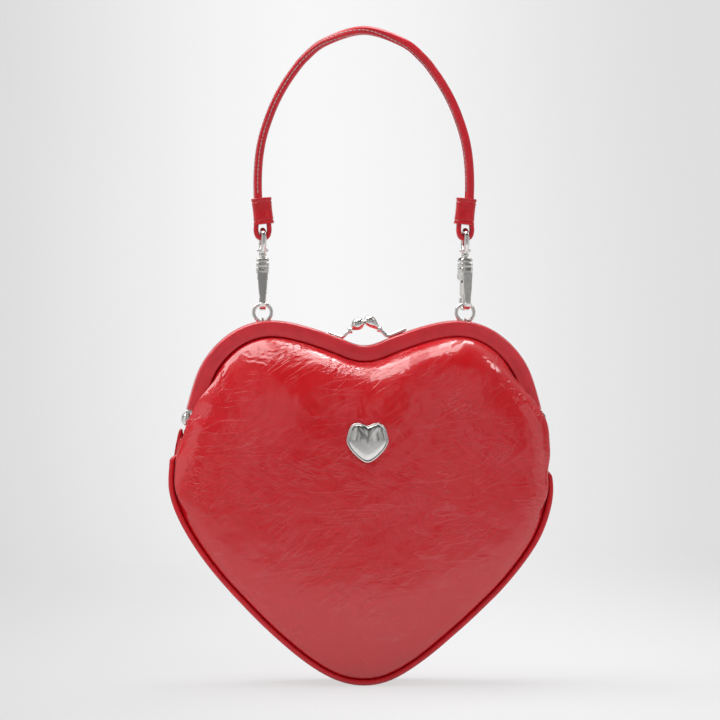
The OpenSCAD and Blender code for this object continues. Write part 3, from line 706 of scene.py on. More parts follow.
# Creases in the patent leather: where, how far they spread, their direction and its spread in
# degrees, their length and depth, and how many
CREASES = [
    ((-40, -168.5), (8, 3.4), 25, 14, 9, 0.3, 20),
    ((-54, -172), (6, 2.2), -14, 14, 10, 0.24, 9),
    ((-56, -167), (4, 2), -68, 12, 7, 0.28, 4),
    ((-25, -170), (3, 2), -52, 20, 6, 0.26, 3),
    ((-21, -171), (2, 1), 38, 10, 5, 0.24, 2),
    ((-17.2, -172), (1.2, 1), 84, 4, 8, 0.3, 2),
    ((-12, -178), (8, 2.2), 42, 14, 6, 0.32, 18),
    ((6, -176), (7, 2.6), 28, 12, 10, 0.3, 16),
    ((20, -171), (5, 2), 22, 10, 10, 0.24, 9),
    ((69.5, -171), (3, 4.5), -58, 20, 4.5, 0.3, 14),
    ((-76, -186), (3, 6), 62, 20, 9, 0.2, 6),
    ((36, -182), (12, 4), 20, 40, 9, 0.16, 9),
    ((48, -188), (1.4, 5), 94, 6, 12, 0.2, 3),
    ((50, -198), (9, 4), 14, 70, 12, 0.2, 20),
    ((-60, -212), (20, 8), 24, 18, 20, 0.13, 12),
    ((-52, -232), (30, 7), -6, 12, 30, 0.14, 16),
    ((-20, -228), (20, 9), -12, 18, 24, 0.14, 10),
    ((-66, -246), (18, 7), 28, 22, 14, 0.14, 15),
    ((30, -236), (24, 9), 4, 22, 20, 0.13, 14),
    ((64, -216), (14, 10), -30, 40, 14, 0.15, 16),
    ((92, -252), (4, 9), -18, 34, 7, 0.22, 18),
    ((54, -262), (22, 9), 8, 44, 12, 0.13, 20),
    ((0, -256), (34, 9), 60, 70, 9, 0.12, 24),
    ((-20, -282), (22, 9), 36, 60, 11, 0.13, 16),
    ((-56, -280), (12, 6), -12, 30, 8, 0.12, 8),
    ((16, -290), (16, 5), 12, 24, 12, 0.12, 9),
    ((-88, -236), (4, 14), 4, 20, 12, 0.16, 10),
]
CREASE_W = 0.6
CREASE_RELIEF = 0.5
CREASE_SCATTER = 0.6
CREASE_RUNS = (0.45, 1.3)
CREASE_BOW = 0.07
CREASE_DEPTHS = (0.5, 1.2)
CREASE_WIDTHS = (0.75, 1.5)
CREASE_MARGIN = 4
WOBBLE = 0.3
WOBBLE_RATE = 1.3
LIP = 0.45
MARK_W = 0.55
MARK_DEPTH = 0.28


def creases(seed, table):
    """Each crease as its middle, direction, half length, bow, depth and width."""
    rng = np.random.default_rng(seed)
    made = []
    for middle, reach, way, spread, length, deep, count in table:
        for _ in range(count):
            spot = middle + rng.normal(0, CREASE_SCATTER, 2) * reach
            angle = math.radians(way + rng.normal(0, spread / 2))
            run = length * rng.uniform(*CREASE_RUNS)
            bow = rng.normal(0, CREASE_BOW) * run
            own_depth = deep * rng.uniform(*CREASE_DEPTHS)
            made.append((spot, angle, run / 2, bow, own_depth, CREASE_W * rng.uniform(*CREASE_WIDTHS)))
    return made


def crease_field(spots, made):
    """Height of the creases at each spot, and how much of a crease line each spot is."""
    height, line = np.zeros(len(spots)), np.zeros(len(spots))
    for spot, angle, reach, bow, deep, width in made:
        near = np.abs(spots - spot).max(1) < reach + CREASE_MARGIN
        if not near.any():
            continue
        v = spots[near] - spot
        c, s = math.cos(angle), math.sin(angle)
        along, off = v[:, 0] * c + v[:, 1] * s, -v[:, 0] * s + v[:, 1] * c
        inside = 1 - (along / reach) ** 2
        fade = np.clip(inside, 0, 1)
        off = off - bow * inside + WOBBLE * np.sin(along * WOBBLE_RATE + bow)
        groove = np.exp(-((off / width) ** 2))
        lips = np.exp(-(((np.abs(off) - 2 * width) / width) ** 2))
        height[near] += deep * fade * (LIP * lips - groove)
        mark = fade * np.exp(-((off / width / MARK_W) ** 2)) * min(1, deep / MARK_DEPTH)
        line[near] = np.maximum(line[near], mark)
    return height, line


ZONE_SPREAD = (1.3, 1.5)
ZONE_COUNT = 16
ZONE_FULL = 3.6
LEAST_TURN = -56


def crinkle_zone(spots, table, low, high):
    """How crinkled the leather is at each spot by lines that run between two directions."""
    total = np.zeros(len(spots))
    for middle, reach, way, _, _, deep, count in table or []:
        if low <= (way - LEAST_TURN) % 180 + LEAST_TURN < high:
            off = ((spots - middle) / np.multiply(reach, ZONE_SPREAD)) ** 2
            total += deep * min(count, ZONE_COUNT) / ZONE_FULL * np.exp(-off.sum(1))
    return np.clip(total, 0, 1)


# Soft waves of the leather: height, fineness and what is added to the seed
WAVES = [(0.7, 0.03, 0), (0.35, 0.07, 5), (0.12, 0.18, 9)]
WAVE_FADE = 0.12
LIFT_FADE = 0.02
LINING_IN = 0.03
LINING_FROM = 0.6
LINING_FADE = 0.3


def panel_shape(cells, seed, table, side, sink):
    """Points and crease lines of one panel. side is -1 in front and 1 behind."""
    spots, share, angle, shown, tuck, swollen = panel_spots(cells)
    z = spots[:, 1]
    edge = edge_depth(z)
    plain = depth(z, np.where(tuck > 0, FACE_END + (1 - FACE_END) * tuck, shown), angle, side)
    rolled = edge + (depth(z, FACE_END, angle, side) - edge) * (1 - tuck)
    deep = np.where(tuck > 0, plain + (rolled - plain) * swollen, plain) - sink
    at_rim = smooth((share - GROOVE_SHARE) / (1 - GROOVE_SHARE))
    deep -= GROOVE * at_rim * smooth((z - hinge_z - GROOVE_LOW) / GROOVE_FADE)
    lift, line = np.zeros(len(spots)), np.zeros(len(spots))
    if table:
        lift, line = crease_field(spots, creases(seed, table))
        wave = sum(high * fbm(spots, scale, seed + more) for high, scale, more in WAVES)
        lift = lift * CREASE_RELIEF + wave * smooth((1 - share) / WAVE_FADE)
    lift *= smooth((1 - share) / LIFT_FADE)
    if sink >= LINING_SINK:
        drawn_in = LINING_IN * swollen * smooth((share - LINING_FROM) / LINING_FADE)
        spots = mid + (spots - mid) * (1 - drawn_in)[:, None]
    points = np.stack([spots[:, 0], side * (deep + lift) + seam_y, spots[:, 1]], 1)
    return settle(points), line


def panel(name, cells, seed, table, side, sink, thick):
    """Closed sheet: the outer skin, the inner skin and the border between them."""
    outer, line = panel_shape(cells, seed, table, side, sink)
    inner, _ = panel_shape(cells, seed, None, side, sink + thick)
    n = cells + 1
    skin = wall(n, n, closed=False)
    if side > 0:
        skin = [f[::-1] for f in skin]
    size = n * n
    back = [tuple(v + size for v in f[::-1]) for f in skin]
    border = list(range(n)) + [k * n + n - 1 for k in range(1, n)]
    border += [n * n - 2 - i for i in range(n - 1)] + [k * n for k in range(n - 2, 0, -1)]
    edge = []
    for a, b in zip(border, border[1:] + border[:1]):
        quad = (a, a + size, b + size, b)
        edge.append(quad if side < 0 else quad[::-1])
    obj = make_object(name, np.vstack([outer, inner]), skin + back + edge)
    store(obj, "crease", np.concatenate([line, np.zeros(size)]))
    for family, ((low, high), _) in CRINKLES.items():
        zone = crinkle_zone(outer[:, [0, 2]], table, low, high)
        store(obj, family, np.concatenate([zone, np.zeros(size)]))
    return obj


def across_hinge(obj):
    """Bakes the placement of a front panel piece into its mesh."""
    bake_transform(obj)


front = panel("front_panel_leather", PANEL_CELLS, 3, CREASES, -1, 0, PANEL_T)
dress(front, None, "panel_leather", "front_panel", "front_panel_top")
across_hinge(front)

BACK_CREASES = [((x * 0.8, z), s, w, sp, ln, d * 0.8, c // 2) for (x, z), s, w, sp, ln, d, c in CREASES]
back = panel("back_panel_leather", PANEL_CELLS, 11, BACK_CREASES, 1, 0, PANEL_T)
dress(back, "purse", "panel_leather", "back_panel")

front_in = panel("front_lining_cloth", LINING_CELLS, 7, None, -1, LINING_SINK, LINING_T)
dress(front_in, None, "lining", "front_lining", "front_lining_top")
across_hinge(front_in)
back_in = panel("back_lining_cloth", LINING_CELLS, 7, None, 1, LINING_SINK, LINING_T)
dress(back_in, "purse", "lining", "back_lining")


# Frame leather

cover_end = hinge_z + LEAF_R + COVER_T
EDGE_ROUND = 1.4
EDGE_DROP = 1.95
EDGE_SLOPE = 14
SMALL_ROUND = 0.7
FRONT_ROUND = 0.98
BAND_LAP = 0.4


def arc(cx, cy, r, a0, a1, count=6):
    a = np.radians(np.linspace(a0, a1, count))
    return np.stack([cx + r * np.cos(a), cy + r * np.sin(a)], 1)


def band_section(step):
    """Closed section of the leather round one half, as [inset, depth in front of the seam]."""
    r, s = EDGE_ROUND, SMALL_ROUND
    low, near = BAND_W + BAND_LAP, HALF_GAP
    return np.vstack([
        arc(step + s, near + s, s, 180, 270),
        arc(low - s, near + s, s, 270, 360),
        arc(low - FRONT_ROUND, HALF_D - FRONT_ROUND, FRONT_ROUND, 0, 90),
        arc(step + EDGE_DROP, HALF_D - r, r, 90, 180 - EDGE_SLOPE, 8),
    ])


def frame_band(name, step, side):
    keep = over_path[:, 1] > cover_end
    section = band_section(step)
    rings = []
    for p, n in zip(over_path[keep], inward(over_path)[keep]):
        q = p + section[:, :1] * n
        rings.append(np.stack([q[:, 0], seam_y + side * section[:, 1], q[:, 1]], 1))
    return sweep(name, rings[::-side])


for node, body, step, side in (("front_frame", "front_half", 0, -1), ("rear_frame", "purse", FRAME_STEP, 1)):
    dress(frame_band(node + "_leather", step, side), body, "frame_leather", node + "_cover")


# Gusset and piping

gusset_top_z = hinge_z - LEAF_R - 2 * COVER_T
gusset_end_z = hinge_z - 3.4
GUSSET_TIP = 6
GUSSET_END_SHARE = 0.45
TIP_SINK = 0.4
GUSSET_IN = 1
GUSSET_T = 1.2
GUSSET_STOPS = 25
LINING_SHARE = 0.8
FOLD_TOP = 6
FOLD_LOW = 2
BOW_SHARE = 0.92
BOW_POWER = 1.6
PUCKER = 0.5
PUCKER_RATE = 0.55
PUCKER_DRIFT = 0.13


def under_part(top_z):
    """The outline below a height, with its inward directions."""
    keep = under_path[:, 1] < top_z
    return under_path[keep], inward(under_path)[keep]


def fold(z):
    return FOLD_LOW + (FOLD_TOP - FOLD_LOW) * smooth(1 - 2 * (gusset_top_z - z) / (hinge_z - tip_z))


def gusset_sheet(name, off, thick, reach):
    """Leather between the two panels, bowed inward, with soft puckers along its edges."""
    stops = np.linspace(-reach, reach, GUSSET_STOPS)
    arch = np.sqrt(np.clip(1 - (stops * BOW_SHARE) ** 2, 0, 1)) ** BOW_POWER
    end_run = gusset_end_z - gusset_top_z + GUSSET_TIP
    path, ways = under_part(gusset_end_z)
    runs = np.append(0, np.cumsum(np.linalg.norm(np.diff(path, axis=0), axis=1)))
    rings = []
    for p, n, run in zip(path, ways, runs):
        tip = 1 - smooth((p[1] - gusset_top_z + GUSSET_TIP) / end_run)
        w = (edge_depth(p[1]) - PIPING_D / 2 - SOFT_GAP) * (GUSSET_END_SHARE + (1 - GUSSET_END_SHARE) * tip)
        beat = 1 + np.sin(run * PUCKER_RATE + 2 * np.sin(run * PUCKER_DRIFT))
        ripple = PUCKER / 2 * beat * np.abs(stops) * (1 - stops**2)
        outer = off + (1 - tip) * TIP_SINK + fold(p[1]) * tip * arch + ripple
        both = np.vstack([p + outer[:, None] * n, (p + (outer + thick)[:, None] * n)[::-1]])
        y = seam_y + np.append(stops, stops[::-1]) * w
        rings.append(settle(np.stack([both[:, 0], y, both[:, 1]], 1)))
    return sweep(name, rings)


gusset_piece = gusset_sheet("gusset_leather_band", GUSSET_IN, GUSSET_T, 1)
dress(gusset_piece, "purse", "gusset_leather", "gusset")
lining_in = GUSSET_IN + GUSSET_T + 2 * SOFT_GAP + PUCKER
gusset_in = gusset_sheet("gusset_lining_cloth", lining_in, LINING_T, LINING_SHARE)
dress(gusset_in, "purse", "lining", "gusset_lining")


TUCK_LEFT = (22, 15)
TUCK_RIGHT = (31, 22)
TUCK_IN = 4.6
PIPING_END = 0.4


def piping_cord(name, side):
    """Piping along one seam. Its ends run in behind the panel, under the hinges."""
    r = PIPING_D / 2
    ring = circle(ROD_SIDES)
    rings = []
    for p, n in zip(*under_part(gusset_top_z)):
        low, high = TUCK_LEFT if p[0] < 0 else TUCK_RIGHT
        tuck = smooth((p[1] - hinge_z + low) / (low - high))
        thin = r * (1 - (1 - PIPING_END) * tuck)
        q = p + (r + TUCK_IN * tuck - thin * ring[:, :1]) * n
        cord = np.stack([q[:, 0], seam_y + side * (edge_depth(p[1]) + thin * ring[:, 1]), q[:, 1]], 1)
        rings.append(settle(cord))
    return sweep(name, rings[::-side])


for node, side in (("front_piping", -1), ("back_piping", 1)):
    dress(piping_cord(node + "_cord", side), "purse", "piping_leather", node)


# Handle: rolled leather strap with a sewn seam, and a loop at each end

STRAP_T = 4.6
STRAP_W = 7
STRAP_POWER = 2.5
STRAP_STEPS = 260
STRAP_TURNS = np.arange(0, 360, 5)
LOOP_T = 2.7
LOOP_W = 5.6
LOOP_GAP = 3.5
LOOP_STEPS = 90
LEG_END_Z = -88
ARCH_TOP_Z = 2.1
HALF_ARCH = [
    [20.5, -4], [31.4, -12.5], [38.3, -21], [43.8, -29.6], [48.1, -38.1],
    [51.4, -46.6], [54, -55.1], [55.6, -63.6], [56.4, -72.2], [56.6, -80], [56.4, LEG_END_Z],
]
SEAM_LEFT = 112
SEAM_RIGHT = 20
SEAM_LIFT = 0.5
# Lines pressed along the strap: how far from the seam in degrees, how wide and how high
SIDE_LINE = (30, 10, -0.2)
FOLD_LINE = (105, 14, 0.16)
STITCH_STEPS = 900
STITCH_END = 4
STITCH_LONG = 1.5
STITCH_PITCH = 2.3
STITCH_R = 0.24
STITCH_SPREAD = 20
STITCH_TIP = 0.7
STITCH_TIP_R = 0.35
THREAD_SIDES = 6


def arch_path(count):
    """Even steps along the handle's middle line, and the length run at each."""
    left = [[-x, z] for x, z in HALF_ARCH[::-1]]
    flat = spline(left + [[0, ARCH_TOP_Z]] + HALF_ARCH, count)
    runs = np.append(0, np.cumsum(np.linalg.norm(np.diff(flat, axis=0), axis=1)))
    even = np.linspace(0, runs[-1], count)
    return np.stack([np.interp(even, runs, flat[:, 0]), np.interp(even, runs, flat[:, 1])], 1), even


def seam_turn(share):
    """Where the seam lies round the strap, in degrees from its inner side, along the handle."""
    return SEAM_LEFT + (SEAM_RIGHT - SEAM_LEFT) * smooth((share - 0.3) / 0.42)


def bump_at(off, middle, wide, high):
    return high * np.exp(-(((off - middle) / wide) ** 2))


def strap_reach(turn, seam):
    """Distance from the strap's middle to its skin, in the direction turn degrees from inside."""
    a = np.radians(turn)
    c, s = np.abs(np.cos(a)), np.abs(np.sin(a))
    flat = (c / (STRAP_T / 2)) ** STRAP_POWER + (s / (STRAP_W / 2)) ** STRAP_POWER
    off = (turn - seam + 180) % 360 - 180
    lines = bump_at(off, 0, 11, SEAM_LIFT) + bump_at(np.abs(off), *SIDE_LINE) + bump_at(off, *FOLD_LINE)
    return flat ** (-1 / STRAP_POWER) + lines


def strap_points(p, inner, turn, reach):
    """Points round the strap at p. The inner side is at 0 degrees and the front at 90."""
    a = np.radians(turn)
    out = reach * np.cos(a)
    return np.stack([p[0] + out * inner[0], -reach * np.sin(a), p[1] + out * inner[1]], -1)


def handle_strap():
    path, _ = arch_path(STRAP_STEPS)
    rings = []
    for share, p, n in zip(np.linspace(0, 1, STRAP_STEPS), path, inward(path)):
        rings.append(strap_points(p, n, STRAP_TURNS, strap_reach(STRAP_TURNS, seam_turn(share))))
    return sweep("handle_leather", rings)


def capsule(a, b, r):
    """Points and faces of a short thread from a to b."""
    run = (b - a) / np.linalg.norm(b - a)
    side = np.cross(run, [0.31, 0.9, 0.3])
    side /= np.linalg.norm(side)
    ring = circle(THREAD_SIDES) * r
    across = ring[:, :1] * side + ring[:, 1:] * np.cross(side, run)
    tip = run * r * STITCH_TIP
    rows = [a - tip + STITCH_TIP_R * across, a + across, b + across, b + tip + STITCH_TIP_R * across]
    ends = [tuple(reversed(range(THREAD_SIDES))), tuple(range(3 * THREAD_SIDES, 4 * THREAD_SIDES))]
    return np.vstack(rows), wall(len(rows), THREAD_SIDES) + ends


def many(name, parts):
    """One object from lists of points and faces."""
    points, faces, start = [], [], 0
    for p, f in parts:
        points.append(p)
        faces += [tuple(v + start for v in face) for face in f]
        start += len(p)
    return make_object(name, np.vstack(points), faces)


def handle_stitches():
    path, run = arch_path(STITCH_STEPS)
    inner = inward(path)
    parts = []
    for middle in np.arange(STITCH_END, run[-1] - STITCH_END, STITCH_PITCH):
        ends = np.searchsorted(run, [middle - STITCH_LONG / 2, middle + STITCH_LONG / 2])
        for side in (-1, 1):
            pair = []
            for k in ends:
                seam = seam_turn(k / (STITCH_STEPS - 1))
                turn = seam + side * STITCH_SPREAD
                pair.append(strap_points(path[k], inner[k], turn, strap_reach(turn, seam) + STITCH_R * 0.4))
            parts.append(capsule(*pair, STITCH_R))
    return many("handle_stitches", parts)


def strap_loop(side):
    """The strap's thin end, from inside the keeper round the eye and back up."""
    out = (LOOP_GAP + LOOP_T) / 2
    flat = spline([
        [out - 0.6, LEG_END_Z + 1], [out - 0.2, -96], [out + 0.3, -102], [out + 0.35, loop_z + 3.6],
        [out * 0.78, loop_z + 0.9], [0, loop_z], [-out * 0.78, loop_z + 0.9],
        [-out - 0.35, loop_z + 3.6], [-out - 0.3, -102], [-out + 0.1, -96], [-out + 0.4, LEG_END_Z - 1],
    ], LOOP_STEPS)
    section = rounded(12, (LOOP_T / 2, LOOP_W / 2), (0.55, 0.55))
    rings = []
    for p, n in zip(flat, inward(flat)):
        q = p + section[:, :1] * n
        rings.append(np.stack([side * (side_x + q[:, 0]), section[:, 1], q[:, 1]], 1))
    return sweep("loop", rings[::side])


handle_piece = join("handle_leather", [handle_strap(), strap_loop(-1), strap_loop(1)])
dress(handle_piece, "handle", "strap_leather", "handle_strap", "handle_filler")
dress(handle_stitches(), "handle", "strap_leather", material=thread_material())


# Keepers: folded leather sleeves with a pressed line near each end

KEEPER_HALVES = np.array([5.3, 4.7])
KEEPER_POWERS = (0.5, 0.6)
KEEPER_TOP_Z = -87.2
KEEPER_LOW_Z = -101.2
KEEPER_LEAN = 6
# Share of the way down, and how far the skin stands out there
KEEPER_HALF = [
    (0, -0.9), (0, -0.25), (0.012, 0.12), (0.035, 0.26), (0.07, 0.12), (0.115, 0.04), (0.135, -0.12),
    (0.15, -0.3), (0.165, -0.12), (0.185, 0.12), (0.21, 0.06), (0.26, -0.06),
]
KEEPER_ROWS = KEEPER_HALF + [(0.5, -0.14)] + [(1 - share, lift) for share, lift in KEEPER_HALF[::-1]]


def keeper(name, side):
    lean = math.radians(KEEPER_LEAN) * -side
    c, s = math.cos(lean), math.sin(lean)
    middle_z = (KEEPER_TOP_Z + KEEPER_LOW_Z) / 2
    rings = []
    for share, lift in KEEPER_ROWS:
        x, y = rounded(5, KEEPER_HALVES + lift, KEEPER_POWERS).T
        z = KEEPER_TOP_Z + (KEEPER_LOW_Z - KEEPER_TOP_Z) * share - middle_z
        rings.append(np.stack([side * side_x + x * c - z * s, y, middle_z + x * s + z * c], 1))
    return sweep(name, rings)


for name, side in (("left_keeper", -1), ("right_keeper", 1)):
    dress(keeper(name + "_leather", side), "handle", "keeper_leather", name)


# Metal fittings

EYE_ROD = 1.42
EYE_REACH = 4.4
EYE_TURN = 8
EYE_STEPS = 70
EYE_ARCH_STEPS = 14
HUB_TOP = -113.2
# Legs of the eye and its turned hub: distance out or above the hub's top, then height or radius
EYE_LEG = [(2.1, -2.2), (2.9, -0.6), (4.1, 1.6)]
HUB_ROWS = [
    (0, 0.4), (-0.15, 1.4), (-0.7, 2.1), (-1.6, 2.45), (-2.5, 2.3), (-3, 1.9), (-3.5, 1.75),
    (-3.8, 2), (-4.4, 2.1), (-5, 1.8), (-5, 0.4),
]
EAR_R = 0.95
EAR_CUT = 0.9
EAR_PLACE = (2.2, 0.7, HUB_TOP - 1.9)


def ball_profile(r, cut, count=12):
    """Profile of a ball cut at the same distance on both sides of its middle."""
    reach = math.asin(cut / r)
    return [(r * math.sin(a), r * math.cos(a)) for a in np.linspace(-reach, reach, count)]


def eye(name, side):
    half_turn = circle(2 * EYE_ARCH_STEPS)[: EYE_ARCH_STEPS + 1]
    arch = [(EYE_REACH * out, loop_z + EYE_REACH * up) for out, up in half_turn]
    legs = [(out, HUB_TOP + up) for out, up in EYE_LEG]
    flat = spline(legs + arch + [(-out, z) for out, z in legs[::-1]], EYE_STEPS)
    turn = math.radians(EYE_TURN)
    middle = side * side_x
    path = np.stack([middle - flat[:, 0] * math.sin(turn), flat[:, 0] * math.cos(turn), flat[:, 1]], 1)
    parts = [tube(name, path, EYE_ROD, up=(1, 0, 0))]
    parts.append(turned("hub", HUB_ROWS, start=(middle, 0, HUB_TOP)))
    x, y, z = EAR_PLACE
    for way in (-1, 1):
        spot = (middle + x * way, y * way, z)
        parts.append(turned("ear", ball_profile(EAR_R, EAR_CUT), axis=(1, 0, 0), start=spot))
    return join(name, parts)


COLLAR_W = 3.45
COLLAR_D = 3.55
COLLAR_TOP = -118.45
COLLAR_LOW = -127.5
# Share of the way down the hook's square collar, and half its width
COLLAR_ROWS = [
    (0.02, 0.3), (0, 1.7), (0.04, 2.4), (0.08, 2.9), (0.15, 3.3), (0.25, COLLAR_W), (0.29, 3.36),
    (0.3, 2.2), (0.37, 2.2), (0.38, 3.36), (0.4, COLLAR_W), (0.57, COLLAR_W), (0.6, 3.3), (0.63, 3.3),
    (0.66, COLLAR_W), (0.93, COLLAR_W), (0.97, 3.3), (1, 2.9), (1, 0.3),
]
SHANK_ROWS = [(-120, 0.95), (-113.6, 0.95), (-113.3, 0.5)]
SPINE_T = 2
SPINE_TOP_W = 5.5
SPINE_LOW_W = 3.5
SPINE_CUT = 0.42
SPINE_STEP = 0.35
SPINE_STEP_FROM = 0.72
BEND_R = 2.2
BEND_Z = -142.95
BEND_LIP_W = 0.25
BEND_LIP_T = 0.35
BEND_LIP_END = 215
TIP_RISE = 2.6
HOOK_TURN = 20
SHARP_TURN = 32
hook_top_z = COLLAR_LOW + 0.4
CHEEK_IN = 1.75
CHEEK_H = 3.8
CHEEK_CUT = 0.3
# Place of each section of a cheek in front of the hook's middle, and its share of the height
CHEEK_ROWS = [(-BEND_R - 0.4, 1), (BEND_R + 0.5, 1), (BEND_R + SPINE_T - 0.3, 0.82), (BEND_R + SPINE_T, 0.5)]


def hook_collar():
    rings = []
    for share, r in COLLAR_ROWS[::-1]:
        flat = rounded(9, (r, r * COLLAR_D / COLLAR_W), (0.4, 0.4))
        z = COLLAR_TOP + (COLLAR_LOW - COLLAR_TOP) * share
        rings.append(np.column_stack([flat, np.full(len(flat), z)]))
    return sweep("collar", rings)


def bevelled(w, t):
    """Section of a flat bar as eight corner points."""
    w, t, cut = w / 2, t / 2, SPINE_CUT
    return np.array([
        [w - cut, t], [w, t - cut], [w, -t + cut], [w - cut, -t],
        [-w + cut, -t], [-w, -t + cut], [-w, t - cut], [-w + cut, t],
    ])


def hook_spine():
    """Flat bar down the back of the hook and round its bend, as rows of place, width and thickness."""
    middle = BEND_R + SPINE_T / 2
    rows = []
    for u in np.linspace(0, 1, 10):
        wide = SPINE_TOP_W + (SPINE_LOW_W - SPINE_TOP_W) * u - SPINE_STEP * (u > SPINE_STEP_FROM)
        rows.append((-middle, hook_top_z + (BEND_Z - hook_top_z) * u, wide, SPINE_T))
    rows.append((-middle - 0.1, BEND_Z - 0.15, SPINE_LOW_W + BEND_LIP_W, SPINE_T + BEND_LIP_T))
    for turn in np.linspace(188, 360, 18):
        a, lip = math.radians(turn), turn < BEND_LIP_END
        spot = (middle * math.cos(a), BEND_Z + middle * math.sin(a))
        rows.append((*spot, SPINE_LOW_W + BEND_LIP_W * lip, SPINE_T + BEND_LIP_T * lip))
    rows.append((middle, BEND_Z + TIP_RISE, SPINE_LOW_W, SPINE_T))
    flat = np.array([row[:2] for row in rows])
    rings = []
    for p, n, row in zip(flat, inward(flat), rows):
        section = bevelled(*row[2:])
        rings.append(np.stack([section[:, 0], p[0] + section[:, 1] * n[0], p[1] + section[:, 1] * n[1]], 1))
    return sweep("spine", rings)


def hook_cheek(way):
    near, far, top = CHEEK_IN, SPINE_TOP_W / 2, hook_top_z
    rings = []
    for y, share in CHEEK_ROWS:
        low = top - CHEEK_H * share
        ring = [(near, top), (far, top), (far, low + CHEEK_CUT), (far - CHEEK_CUT, low), (near, low)]
        rings.append([(way * x, y, z) for x, z in ring])
    return sweep("cheek", rings[::-way])


def hook(name, side, turn):
    shank = turned("shank", SHANK_ROWS)
    whole = join(name, [hook_collar(), shank, hook_spine(), hook_cheek(-1), hook_cheek(1)])
    place(whole, turn, side * side_x)
    whole.data.set_sharp_from_angle(angle=math.radians(SHARP_TURN))
    return whole


RING_R = 4.7
RING_WIRE = 0.95
RING_STEPS = 72


def side_ring(name, side):
    centre = np.array([side * side_x, 0, ring_top_z - RING_R])
    section = circle(ROD_SIDES) * RING_WIRE
    rings = []
    for a in np.linspace(0, 2 * math.pi, RING_STEPS, endpoint=False):
        out = np.array([math.cos(a), 0, math.sin(a)])
        rings.append(centre + out * RING_R + section[:, :1] * out + section[:, 1:] * [0, 1, 0])
    return sweep(name, rings, closed=True)


for label, side in (("left", -1), ("right", 1)):
    dress(eye(label + "_eye_bail", side), label + "_eye", "hook_metal", label + "_eye")
    turn = HOOK_TURN if side > 0 else 0
    dress(hook(label + "_hook_body", side, turn), label + "_hook", "hook_metal", label + "_hook")
    dress(side_ring(label + "_ring_wire", side), label + "_ring", "ring_metal", label + "_ring")


# Kiss clasp: a ball and a drop on stems that run along the two frame halves

BALL_Z = lobe_z - 2.2
REAR_BALL = np.array([-3.3, seam_y, BALL_Z])
FRONT_BALL = np.array([3.1, seam_y, BALL_Z + 1.5])
REAR_NECK = REAR_BALL + [-4.6, 0, -3.7]
FRONT_NECK = FRONT_BALL + [5.25, 0, -4.5]
# Stems: how far out each stands, and how high over the frame
REAR_STEM = [(-11.5, 0.9), (-13.6, 0.3), (-16.4, 0.1), (-19.6, 0.3)]
FRONT_STEM = [(12.3, 1.25), (15.8, 0.8), (22.2, 1.2)]
STEM_SHARES = [0, 0.3, 0.95, 1]
STEM_RADII = [0.78, 0.9, 0.98, 0.8]
STEM_STEPS = 40
STEM_IN = 0.4
STEM_LEAD = 1.6
# Turned forms: distance along the axis, from the ball's middle or from the neck, then radius
EGG = [
    (-3.45, 0.25), (-3.38, 0.9), (-3.1, 1.7), (-2.5, 2.45), (-1.6, 3), (-0.5, 3.3), (0.5, 3.28),
    (1.5, 2.98), (2.4, 2.45), (3.2, 1.8), (3.8, 1.25), (4.4, 0.9),
]
DROP = [
    (-3.3, 0.25), (-3.22, 0.8), (-2.9, 1.5), (-2.2, 2.3), (-1.2, 2.85), (0, 3.05), (1.2, 2.9), (2.4, 2.5),
    (3.6, 1.95), (4.7, 1.45), (5.4, 1.1), (5.9, 0.9),
]
NECK = [
    (-1.15, 0.5), (-1.05, 1.5), (-0.7, 1.85), (-0.1, 1.85), (0.15, 1.45), (0.25, 1.1), (0.55, 1.35),
    (0.9, 1.2), (1.1, 0.6),
]


def clasp_half(name, ball, neck, stem, profile, end_y):
    """Turned head on an axis towards its neck, a collar and a bent stem."""
    axis = (neck - ball) / np.linalg.norm(neck - ball)
    start = neck + axis * STEM_IN
    points = [start, start + axis * STEM_LEAD]
    for k, (x, rise) in enumerate(stem):
        share = (k + 1) / len(stem)
        edge_z = np.interp(abs(x), half[: over_count + 1, 0], half[: over_count + 1, 1])
        points.append([x, neck[1] + (end_y - neck[1]) * share, edge_z + rise])
    radii = np.interp(np.linspace(0, 1, STEM_STEPS), STEM_SHARES, STEM_RADII)
    return join(name, [
        turned(name, profile, axis=axis, start=ball, sides=40),
        turned("collar", NECK, axis=axis, start=neck, sides=28),
        tube("stem", spline(points, STEM_STEPS), radii),
    ])


rear_head = clasp_half("rear_clasp_ball", REAR_BALL, REAR_NECK, REAR_STEM, EGG, 0.4)
dress(rear_head, "purse", "clasp_metal", "rear_clasp")
front_head = clasp_half("front_clasp_drop", FRONT_BALL, FRONT_NECK, FRONT_STEM, DROP, seam_y - 1.2)
dress(front_head, "front_half", "clasp_metal", "front_clasp")


# Plaque: a plain domed heart with a rim

PLAQUE_W = 22
PLAQUE_DROP = 9.7
PLAQUE_SINK = 0.1
NEAREST = 6
# Share of the plaque's outline, and height over the leather
PLAQUE_ROWS = [
    (0.02, 0), (0.9, 0), (0.97, 0.1), (1, 0.4), (1, 1.1), (0.985, 1.35), (0.955, 1.45), (0.925, 1.38),
    (0.905, 1.15), (0.885, 1.15), (0.86, 1.4), (0.78, 1.78), (0.66, 2.12), (0.5, 2.42), (0.32, 2.62),
    (0.14, 2.72), (0.02, 2.74),
]
front_skin = points_of(front)[: (PANEL_CELLS + 1) ** 2]


def skin_depth(p):
    """Depth of the front panel's skin in front of the seam, near one [x, z] spot."""
    near = np.argsort(np.hypot(front_skin[:, 0] - p[0], front_skin[:, 2] - p[1]))[:NEAREST]
    return seam_y - front_skin[near, 1].mean()


